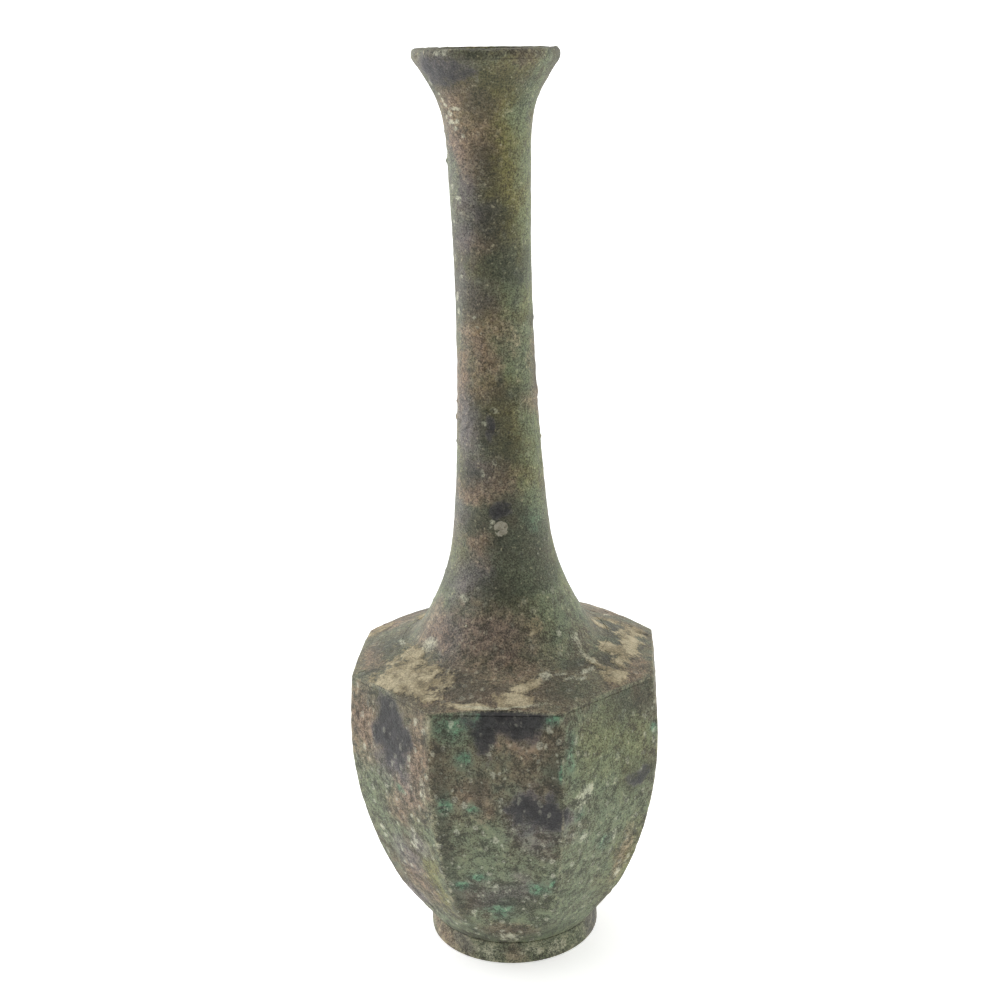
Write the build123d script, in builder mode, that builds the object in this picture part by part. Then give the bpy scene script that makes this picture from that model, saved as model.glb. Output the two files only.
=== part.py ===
from build123d import *
import os
from math import cos, pi, radians, sin, tan

# Eight-sided bottle vase in cast bronze: separate castings, let into one another and soldered.
# Millimetres, real size. +Z runs up the axis of the vessel, the origin is the centre of the foot on the
# floor, and one of the eight flats of the body faces -Y.

# Whole vessel
VESSEL_HEIGHT = 260.5
SIDES = 8
SOCKET_GAP = 0.1  # play all round between a spigot, tenon, plate or plug and its socket
SOLDER_LEG = 1.8  # side of a fillet of solder in a corner
SOLDER_FILM = 0.25  # thin solder between close faces

# Foot ring
FOOT_DIAMETER = 51.0  # on the floor
FOOT_TOP_DIAMETER = 50.6
FOOT_HEIGHT = 7.0
FOOT_EDGE_ROUND = 0.9
FOOT_RING_WIDTH = 3.3  # on the floor, round the hollow under the foot
RECESS_TAPER_HEIGHT = 4.2
FOOT_SEAT_WIDTH = 3.9  # top face that carries the body
TENON_WALL = 2.2
TENON_LENGTH = 5.5

# Base plate inside the foot
BASE_THICKNESS = 2.4
BASE_HEIGHT = 6.4  # underside above the floor
LEDGE_WIDTH = 1.6

# Body, widths across the flats
BODY_WALL = 2.8
BODY_FLOOR = 3.0
BELLY_WIDTH = 88.4
BELLY_RISE = 61.0  # above the foot
ARRIS_DRAW = 2.3  # narrowing from the belly to the sharp edge under the shoulder
ARRIS_RISE = 20.7  # above the belly
CURVE_RISE = (0.23, 0.61)  # shares of the climb from foot to belly
CURVE_SWELL = (0.39, 0.822)  # shares of the widening reached there
TOE_ANGLE = 37.0  # turned cone that rounds the corners off above the foot, from upright
TOE_SPARE = 0.4  # flats carried down to the foot stay this far outside the cone
HOLLOW_STATIONS = 7

# Shoulder: turned slope that the flats of the body cut off
SHOULDER_RISE = 5.6  # from the corners of the sharp edge to the root of the neck
SHOULDER_WALL = 2.6
SLOPE_SPARE = 0.3  # slope carried past the corners
RIM_WALL = 3.2  # top edge of the body, across a flat
TONGUE_WALL = 2.2
TONGUE_LENGTH = 4.0
SEAT_SPARE = 1.2  # seat below the bead of solder

# Neck
NECK_WALL = 2.4
ROOT_DIAMETER = 60.0  # where the neck runs out flush into the shoulder
ROOT_LEDGE = 7.6  # flange let into the shoulder
ROOT_EDGE = 1.2  # thickness of the flange at its edge
SPIGOT_WALL = 2.2
SPIGOT_LENGTH = 5.3
FLANGE_RISE = 7.0  # thick root of the neck above the shoulder
WAIST_DIAMETER = 21.3
WAIST_SHARE = 0.665  # of the climb from root to rim
LOWER_RISE = (0.0117, 0.054, 0.124, 0.224, 0.373, 0.652)  # shares of the climb from root to waist
LOWER_WIDTH = (0.868, 0.674, 0.469, 0.26, 0.1325, 0.038)  # shares of the root's extra width left there
UPPER_RISE = (0.52, 0.835)  # shares of the climb from waist to rim
UPPER_WIDTH = (0.068, 0.36)  # shares of the flare's extra width reached there
BORE_STATIONS = 9

# Mouth rim
RIM_DIAMETER = 39.6
RIM_HEIGHT = 3.6
RIM_OVERHANG = 0.8  # past the flare of the neck
RIM_LEDGE = 0.6  # top of the flare outside the tenon
RIM_TENON_WALL = 1.4
RIM_TENON_HEIGHT = 1.6
RIM_TOP_ROUND = 1.2
RIM_UNDER_ROUND = 0.6

# Plug in the front of the neck
PLUG_DIAMETER = 4.8
PLUG_RISE = 37.2  # above the root
PLUG_TURN = 3.8  # degrees round from the front, towards +X

# Worked out from the sizes above
toe_radius = FOOT_TOP_DIAMETER / 2
tenon_radius = toe_radius - FOOT_SEAT_WIDTH
foot_bore = tenon_radius - TENON_WALL
ledge_height = BASE_HEIGHT + BASE_THICKNESS
floor_top = FOOT_HEIGHT + BODY_FLOOR
belly_flat = BELLY_WIDTH / 2
belly_height = FOOT_HEIGHT + BELLY_RISE
arris_flat = (BELLY_WIDTH - ARRIS_DRAW) / 2
arris_height = belly_height + ARRIS_RISE
slope_radius = arris_flat / cos(pi / SIDES) + SLOPE_SPARE
reach = BELLY_WIDTH  # well outside the body
seat_flat = arris_flat - RIM_WALL
seat_top = arris_height - RIM_WALL
tongue_flat = seat_flat - SOCKET_GAP
tongue_top = seat_top - SOCKET_GAP
tongue_bottom = tongue_top - TONGUE_LENGTH
tongue_inside = tongue_flat - TONGUE_WALL
seat_bottom = tongue_bottom - SOLDER_LEG - SEAT_SPARE
root_radius = ROOT_DIAMETER / 2
root_height = arris_height + SHOULDER_RISE
shoulder_under = root_height - SHOULDER_WALL
root_seat = root_height - ROOT_EDGE
spigot_radius = root_radius - ROOT_LEDGE
spigot_bore = spigot_radius - SPIGOT_WALL
spigot_bottom = root_height - SPIGOT_LENGTH
rim_seat = VESSEL_HEIGHT - RIM_HEIGHT
flare_radius = RIM_DIAMETER / 2 - RIM_OVERHANG
rim_tenon_radius = flare_radius - RIM_LEDGE
rim_tenon_top = rim_seat + RIM_TENON_HEIGHT
mouth_radius = rim_tenon_radius - RIM_TENON_WALL
waist_radius = WAIST_DIAMETER / 2
waist_height = root_height + (rim_seat - root_height) * WAIST_SHARE
toe_angle = radians(TOE_ANGLE)
plug_turn = radians(PLUG_TURN)
plug_plane = Plane(
    origin=(0, 0, root_height + PLUG_RISE),
    z_dir=(sin(plug_turn), -cos(plug_turn), 0),
)


def along(low, high, share):
    """Value a given share of the way from low to high."""
    return low + (high - low) * share


def inside(outline, share, wall):
    """Point of the inner face: a point of the outline moved square to it by the wall."""
    point = outline @ share
    run = outline % share
    return (point.X - wall * run.Y, point.Y + wall * run.X)


def eight_sided(height, flat):
    """Eight-sided face at a height, its flats at the given distance from the axis."""
    with BuildSketch(Plane.XY.offset(height)) as face:
        RegularPolygon(flat, SIDES, major_radius=False, rotation=180 / SIDES)
    return face.sketch


def turned(outline, mode=Mode.ADD):
    """Turn a closed outline of radius and height about the axis of the vessel."""
    with BuildSketch(Plane.XZ) as profile:
        with BuildLine():
            Polyline(*outline, close=True)
        make_face()
    revolve(profile.sketch.faces(), axis=Axis.Z, mode=mode)


def faceted(outline, bottom, cone_radius):
    """Solid with flats that follow an outline, above a bottom and inside a cone that opens from it."""
    start = outline[0] @ 0
    end = outline[-1] @ 1
    for side in range(SIDES):
        turn = 2 * pi * side / SIDES
        across = Plane(origin=(0, 0, 0), x_dir=(cos(turn), sin(turn), 0), z_dir=(sin(turn), -cos(turn), 0))
        with BuildSketch(across) as profile:
            with BuildLine():
                add(outline)
                Polyline(end, (-reach, end.Y), (-reach, start.Y), start)
            make_face()
        extrude(profile.sketch, amount=reach, both=True, mode=Mode.INTERSECT if side else Mode.ADD)
    cone_wide = cone_radius + (VESSEL_HEIGHT - bottom) * tan(toe_angle)
    turned(
        [(0, bottom), (cone_radius, bottom), (cone_wide, VESSEL_HEIGHT), (0, VESSEL_HEIGHT)],
        Mode.INTERSECT,
    )


def under_slope(bottom, drop):
    """Keep what lies above a bottom and under the shoulder's turned slope, lowered by a drop."""
    turned(
        [
            (0, bottom),
            (slope_radius, bottom),
            (slope_radius, arris_height - drop),
            (root_radius, root_height - drop),
            (0, root_height - drop),
        ],
        Mode.INTERSECT,
    )


# Outlines of the body along the middle of a flat: outside from foot to arris, and the hollow inside it
toe_flat = toe_radius + TOE_SPARE
body_outline = Spline(
    (toe_flat, FOOT_HEIGHT),
    *[
        (along(toe_flat, belly_flat, swell), along(FOOT_HEIGHT, belly_height, rise))
        for rise, swell in zip(CURVE_RISE, CURVE_SWELL)
    ],
    (belly_flat, belly_height),
    (arris_flat, arris_height),
)
belly_share = body_outline.param_at_point((belly_flat, belly_height))
hollow_curve = Spline(
    *[
        inside(body_outline, belly_share * station / HOLLOW_STATIONS, BODY_WALL)
        for station in range(HOLLOW_STATIONS + 1)
    ]
)
hollow_seat = Polyline(
    hollow_curve @ 1,
    (seat_flat, seat_bottom),
    (seat_flat, seat_top),
    (arris_flat, arris_height),
)
hollow_radius = toe_radius + BODY_FLOOR * tan(toe_angle) - BODY_WALL / cos(toe_angle)

# Outlines of the neck: outside from root to rim, and the bore inside it
neck_outline = Spline(
    (root_radius, root_height),
    *[
        (along(waist_radius, root_radius, width), along(root_height, waist_height, rise))
        for rise, width in zip(LOWER_RISE, LOWER_WIDTH)
    ],
    (waist_radius, waist_height),
    *[
        (along(waist_radius, flare_radius, width), along(waist_height, rim_seat, rise))
        for rise, width in zip(UPPER_RISE, UPPER_WIDTH)
    ],
    (flare_radius, rim_seat),
)
bore_outline = Spline(
    (spigot_bore, root_height + FLANGE_RISE),
    *[
        inside(neck_outline, (station + 1) / (BORE_STATIONS + 1), NECK_WALL)
        for station in range(BORE_STATIONS)
    ],
    (mouth_radius, rim_tenon_top),
)


def neck_wall():
    """Turn the wall of the neck with its rim tenon, root flange and spigot."""
    with BuildSketch(Plane.XZ) as profile:
        with BuildLine():
            add(neck_outline)
            Polyline(
                (flare_radius, rim_seat),
                (rim_tenon_radius, rim_seat),
                (rim_tenon_radius, rim_tenon_top),
                (mouth_radius, rim_tenon_top),
            )
            add(bore_outline)
            Polyline(
                (spigot_bore, root_height + FLANGE_RISE),
                (spigot_bore, spigot_bottom),
                (spigot_radius, spigot_bottom),
                (spigot_radius, root_seat),
                (root_radius, root_seat),
                (root_radius, root_height),
            )
        make_face()
    revolve(profile.sketch.faces(), axis=Axis.Z)


# Foot ring: stands on the floor, its tenon goes up through the floor of the body
with BuildPart() as foot_ring:
    turned([
        (FOOT_DIAMETER / 2, 0),
        (toe_radius, FOOT_HEIGHT),
        (tenon_radius, FOOT_HEIGHT),
        (tenon_radius, FOOT_HEIGHT + TENON_LENGTH),
        (foot_bore - LEDGE_WIDTH, FOOT_HEIGHT + TENON_LENGTH),
        (foot_bore - LEDGE_WIDTH, ledge_height),
        (foot_bore, ledge_height),
        (foot_bore, RECESS_TAPER_HEIGHT),
        (FOOT_DIAMETER / 2 - FOOT_RING_WIDTH, 0),
    ])
    floor_edges = foot_ring.edges().filter_by(GeomType.CIRCLE).group_by(Axis.Z)[0]
    fillet(floor_edges.sort_by(SortBy.RADIUS)[-1], radius=FOOT_EDGE_ROUND)

# Base plate: lies against the ledge from below
with BuildPart() as base_plate:
    with BuildSketch(Plane.XY.offset(BASE_HEIGHT)):
        Circle(foot_bore - SOCKET_GAP)
    extrude(amount=BASE_THICKNESS)

# Fillet of solder under the base plate, against the bore of the foot
with BuildPart() as base_solder:
    turned([
        (foot_bore, BASE_HEIGHT),
        (foot_bore - SOLDER_LEG, BASE_HEIGHT),
        (foot_bore, BASE_HEIGHT - SOLDER_LEG),
    ])

# Fillet of solder round the tenon, on the floor of the body
with BuildPart() as foot_solder:
    turned([
        (tenon_radius, floor_top),
        (tenon_radius + SOLDER_LEG, floor_top),
        (tenon_radius, floor_top + SOLDER_LEG),
    ])

# Body: eight-sided shell, turned to a cone above the foot, with a mitred top edge over an upright seat
with BuildPart() as body_hollow:
    faceted([hollow_curve, hollow_seat], floor_top, hollow_radius)
with BuildPart() as body:
    faceted([body_outline], FOOT_HEIGHT, toe_radius)
    add(body_hollow.part, mode=Mode.SUBTRACT)
    with BuildSketch(Plane.XY.offset(FOOT_HEIGHT)):
        Circle(tenon_radius + SOCKET_GAP)
    extrude(amount=BODY_FLOOR, mode=Mode.SUBTRACT)

# Shoulder: turned plate cut off by the flats, with a tongue into the body's seat, and a hole with a
# rebate for the flange of the neck
with BuildPart() as shoulder_hollow:
    extrude(eight_sided(tongue_bottom, tongue_inside), amount=shoulder_under - tongue_bottom)
    under_slope(tongue_bottom, SHOULDER_WALL)
with BuildPart() as shoulder:
    loft(
        [
            eight_sided(tongue_bottom, tongue_flat),
            eight_sided(tongue_top, tongue_flat),
            eight_sided(arris_height, arris_flat),
        ],
        ruled=True,
    )
    extrude(eight_sided(arris_height, arris_flat), amount=SHOULDER_RISE)
    under_slope(tongue_bottom, 0)
    add(shoulder_hollow.part, mode=Mode.SUBTRACT)
    with BuildSketch(Plane.XY.offset(root_height)):
        Circle(root_radius + SOCKET_GAP)
    extrude(amount=-ROOT_EDGE, mode=Mode.SUBTRACT)
    with BuildSketch(Plane.XY.offset(root_height)):
        Circle(spigot_radius + SOCKET_GAP)
    extrude(amount=-SHOULDER_WALL, mode=Mode.SUBTRACT)

# Bead of solder under the tongue, against the seat
with BuildPart() as shoulder_solder:
    extrude(eight_sided(tongue_bottom, seat_flat), amount=-SOLDER_LEG)
    loft(
        [
            eight_sided(tongue_bottom, seat_flat - SOLDER_LEG),
            eight_sided(tongue_bottom - SOLDER_LEG, seat_flat - SOLDER_FILM),
        ],
        ruled=True,
        mode=Mode.SUBTRACT,
    )

# Neck: trumpet tube that runs out into the shoulder's slope, with a socket for the plug in its front
with BuildPart() as neck:
    neck_wall()
    with BuildSketch(plug_plane):
        Circle(PLUG_DIAMETER / 2 + SOCKET_GAP)
    extrude(amount=root_radius, mode=Mode.SUBTRACT)

# Fillet of solder round the spigot, under the shoulder
with BuildPart() as neck_solder:
    turned([
        (spigot_radius, shoulder_under),
        (spigot_radius + SOLDER_LEG, shoulder_under),
        (spigot_radius, shoulder_under - SOLDER_LEG),
    ])

# Plug: a round peg as thick as the neck's wall, flush on both faces
with BuildPart() as casting_plug:
    neck_wall()
    with BuildSketch(plug_plane):
        Circle(PLUG_DIAMETER / 2)
    extrude(amount=root_radius, mode=Mode.INTERSECT)

# Mouth rim: band that sits over the neck's tenon
with BuildPart() as mouth_rim:
    turned([
        (RIM_DIAMETER / 2, rim_seat),
        (RIM_DIAMETER / 2, VESSEL_HEIGHT),
        (mouth_radius, VESSEL_HEIGHT),
        (mouth_radius, rim_tenon_top),
        (rim_tenon_radius + SOLDER_FILM, rim_tenon_top),
        (rim_tenon_radius + SOLDER_FILM, rim_seat),
    ])
    rim_edges = mouth_rim.edges().filter_by(GeomType.CIRCLE).group_by(Axis.Z)
    fillet(rim_edges[-1], radius=RIM_TOP_ROUND)
    rim_edges = mouth_rim.edges().filter_by(GeomType.CIRCLE).group_by(Axis.Z)
    fillet(rim_edges[0].sort_by(SortBy.RADIUS)[-1], radius=RIM_UNDER_ROUND)

# Film of solder between the tenon and the rim
with BuildPart() as rim_solder:
    turned([
        (rim_tenon_radius, rim_seat),
        (rim_tenon_radius + SOLDER_FILM, rim_seat),
        (rim_tenon_radius + SOLDER_FILM, rim_tenon_top),
        (rim_tenon_radius, rim_tenon_top),
    ])

os.makedirs("parts", exist_ok=True)

foot_ring.part.label = "foot_ring"
export_step(foot_ring.part, "parts/foot_ring.step")
base_plate.part.label = "base_plate"
export_step(base_plate.part, "parts/base_plate.step")
base_solder.part.label = "base_solder"
export_step(base_solder.part, "parts/base_solder.step")
foot_solder.part.label = "foot_solder"
export_step(foot_solder.part, "parts/foot_solder.step")
body.part.label = "body"
export_step(body.part, "parts/body.step")
shoulder.part.label = "shoulder"
export_step(shoulder.part, "parts/shoulder.step")
shoulder_solder.part.label = "shoulder_solder"
export_step(shoulder_solder.part, "parts/shoulder_solder.step")
neck.part.label = "neck"
export_step(neck.part, "parts/neck.step")
neck_solder.part.label = "neck_solder"
export_step(neck_solder.part, "parts/neck_solder.step")
casting_plug.part.label = "casting_plug"
export_step(casting_plug.part, "parts/casting_plug.step")
mouth_rim.part.label = "mouth_rim"
export_step(mouth_rim.part, "parts/mouth_rim.step")
rim_solder.part.label = "rim_solder"
export_step(rim_solder.part, "parts/rim_solder.step")
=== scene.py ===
"""Bronze bottle vase: worn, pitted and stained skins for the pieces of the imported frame, and a white studio.

Lengths are in millimetres until a mesh is made. Azimuth is in degrees round the axis, from the flat that
faces -Y towards +X. Every piece is a grid of points: columns go round an axis, rows go along a section.
Among a piece's sizes an edge is how far a corner is rounded, rows is the spacing of the rows, and a fade is
the stretch over which the relief dies away towards a joint.
"""
import logging
from dataclasses import dataclass
from enum import Enum
from typing import Sequence

import bpy
import numpy as np
from mathutils import Matrix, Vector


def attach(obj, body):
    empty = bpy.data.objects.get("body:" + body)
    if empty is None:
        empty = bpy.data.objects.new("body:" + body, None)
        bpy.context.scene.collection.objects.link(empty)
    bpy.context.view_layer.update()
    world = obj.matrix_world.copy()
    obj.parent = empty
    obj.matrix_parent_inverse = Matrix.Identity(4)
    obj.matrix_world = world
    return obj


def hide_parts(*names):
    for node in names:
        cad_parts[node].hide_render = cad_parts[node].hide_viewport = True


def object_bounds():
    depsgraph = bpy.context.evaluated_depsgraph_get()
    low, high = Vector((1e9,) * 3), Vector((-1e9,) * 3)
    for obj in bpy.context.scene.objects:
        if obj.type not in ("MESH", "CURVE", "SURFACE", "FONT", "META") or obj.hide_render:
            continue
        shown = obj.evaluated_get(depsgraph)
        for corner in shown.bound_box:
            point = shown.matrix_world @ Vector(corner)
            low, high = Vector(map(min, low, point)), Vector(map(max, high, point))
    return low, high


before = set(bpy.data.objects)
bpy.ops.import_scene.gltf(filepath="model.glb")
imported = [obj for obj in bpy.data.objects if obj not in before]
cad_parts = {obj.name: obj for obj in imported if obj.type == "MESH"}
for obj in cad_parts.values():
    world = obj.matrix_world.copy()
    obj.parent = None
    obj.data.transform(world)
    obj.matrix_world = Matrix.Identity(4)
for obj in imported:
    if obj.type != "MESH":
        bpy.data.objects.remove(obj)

Array = np.ndarray
Colour = tuple[float, float, float, float]
Patch = tuple[float, float, float, float, float]
METRE = 0.001
CORNER_POWER = 180.0
LEAN = 0.85
LEAN_REACH = 19.8
LEAN_SPAN = (222.0, 256.9)
HIDDEN_GRIME = 0.7
CAD_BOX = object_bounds()
log = logging.getLogger("vase")


class Stain(Enum):
    """Kinds of patina and wear; two of them also carry painted light, as noted below. Each value is the name
    of the mesh attribute that carries it.
    """

    SLATE = "slate"
    VERDIGRIS = "verdigris"
    RUST = "rust"
    CRUST = "crust"
    CHALK = "chalk"
    OLIVE = "olive"
    MAUVE = "mauve"
    DUSK = "dusk"
    LICHEN = "lichen"
    # Pale rubbed metal on edges and arrises; on the foot's top edge it is also a painted highlight.
    WEAR_AND_HIGHLIGHT = "wear_and_highlight"
    # Dark grime in joints, hollows and round the plug; in the crease under the lip band it is painted shade.
    GRIME_AND_SHADE = "grime_and_shade"
    SPECK = "speck"


class Zone(Enum):
    """Regions of the vase with a stain map of their own."""

    WALL = "flats and foot, placed by azimuth and height"
    SLOPE = "shoulder and root of the neck, placed by azimuth and distance from the axis"
    NECK = "neck and lip, placed by azimuth and height"


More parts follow.
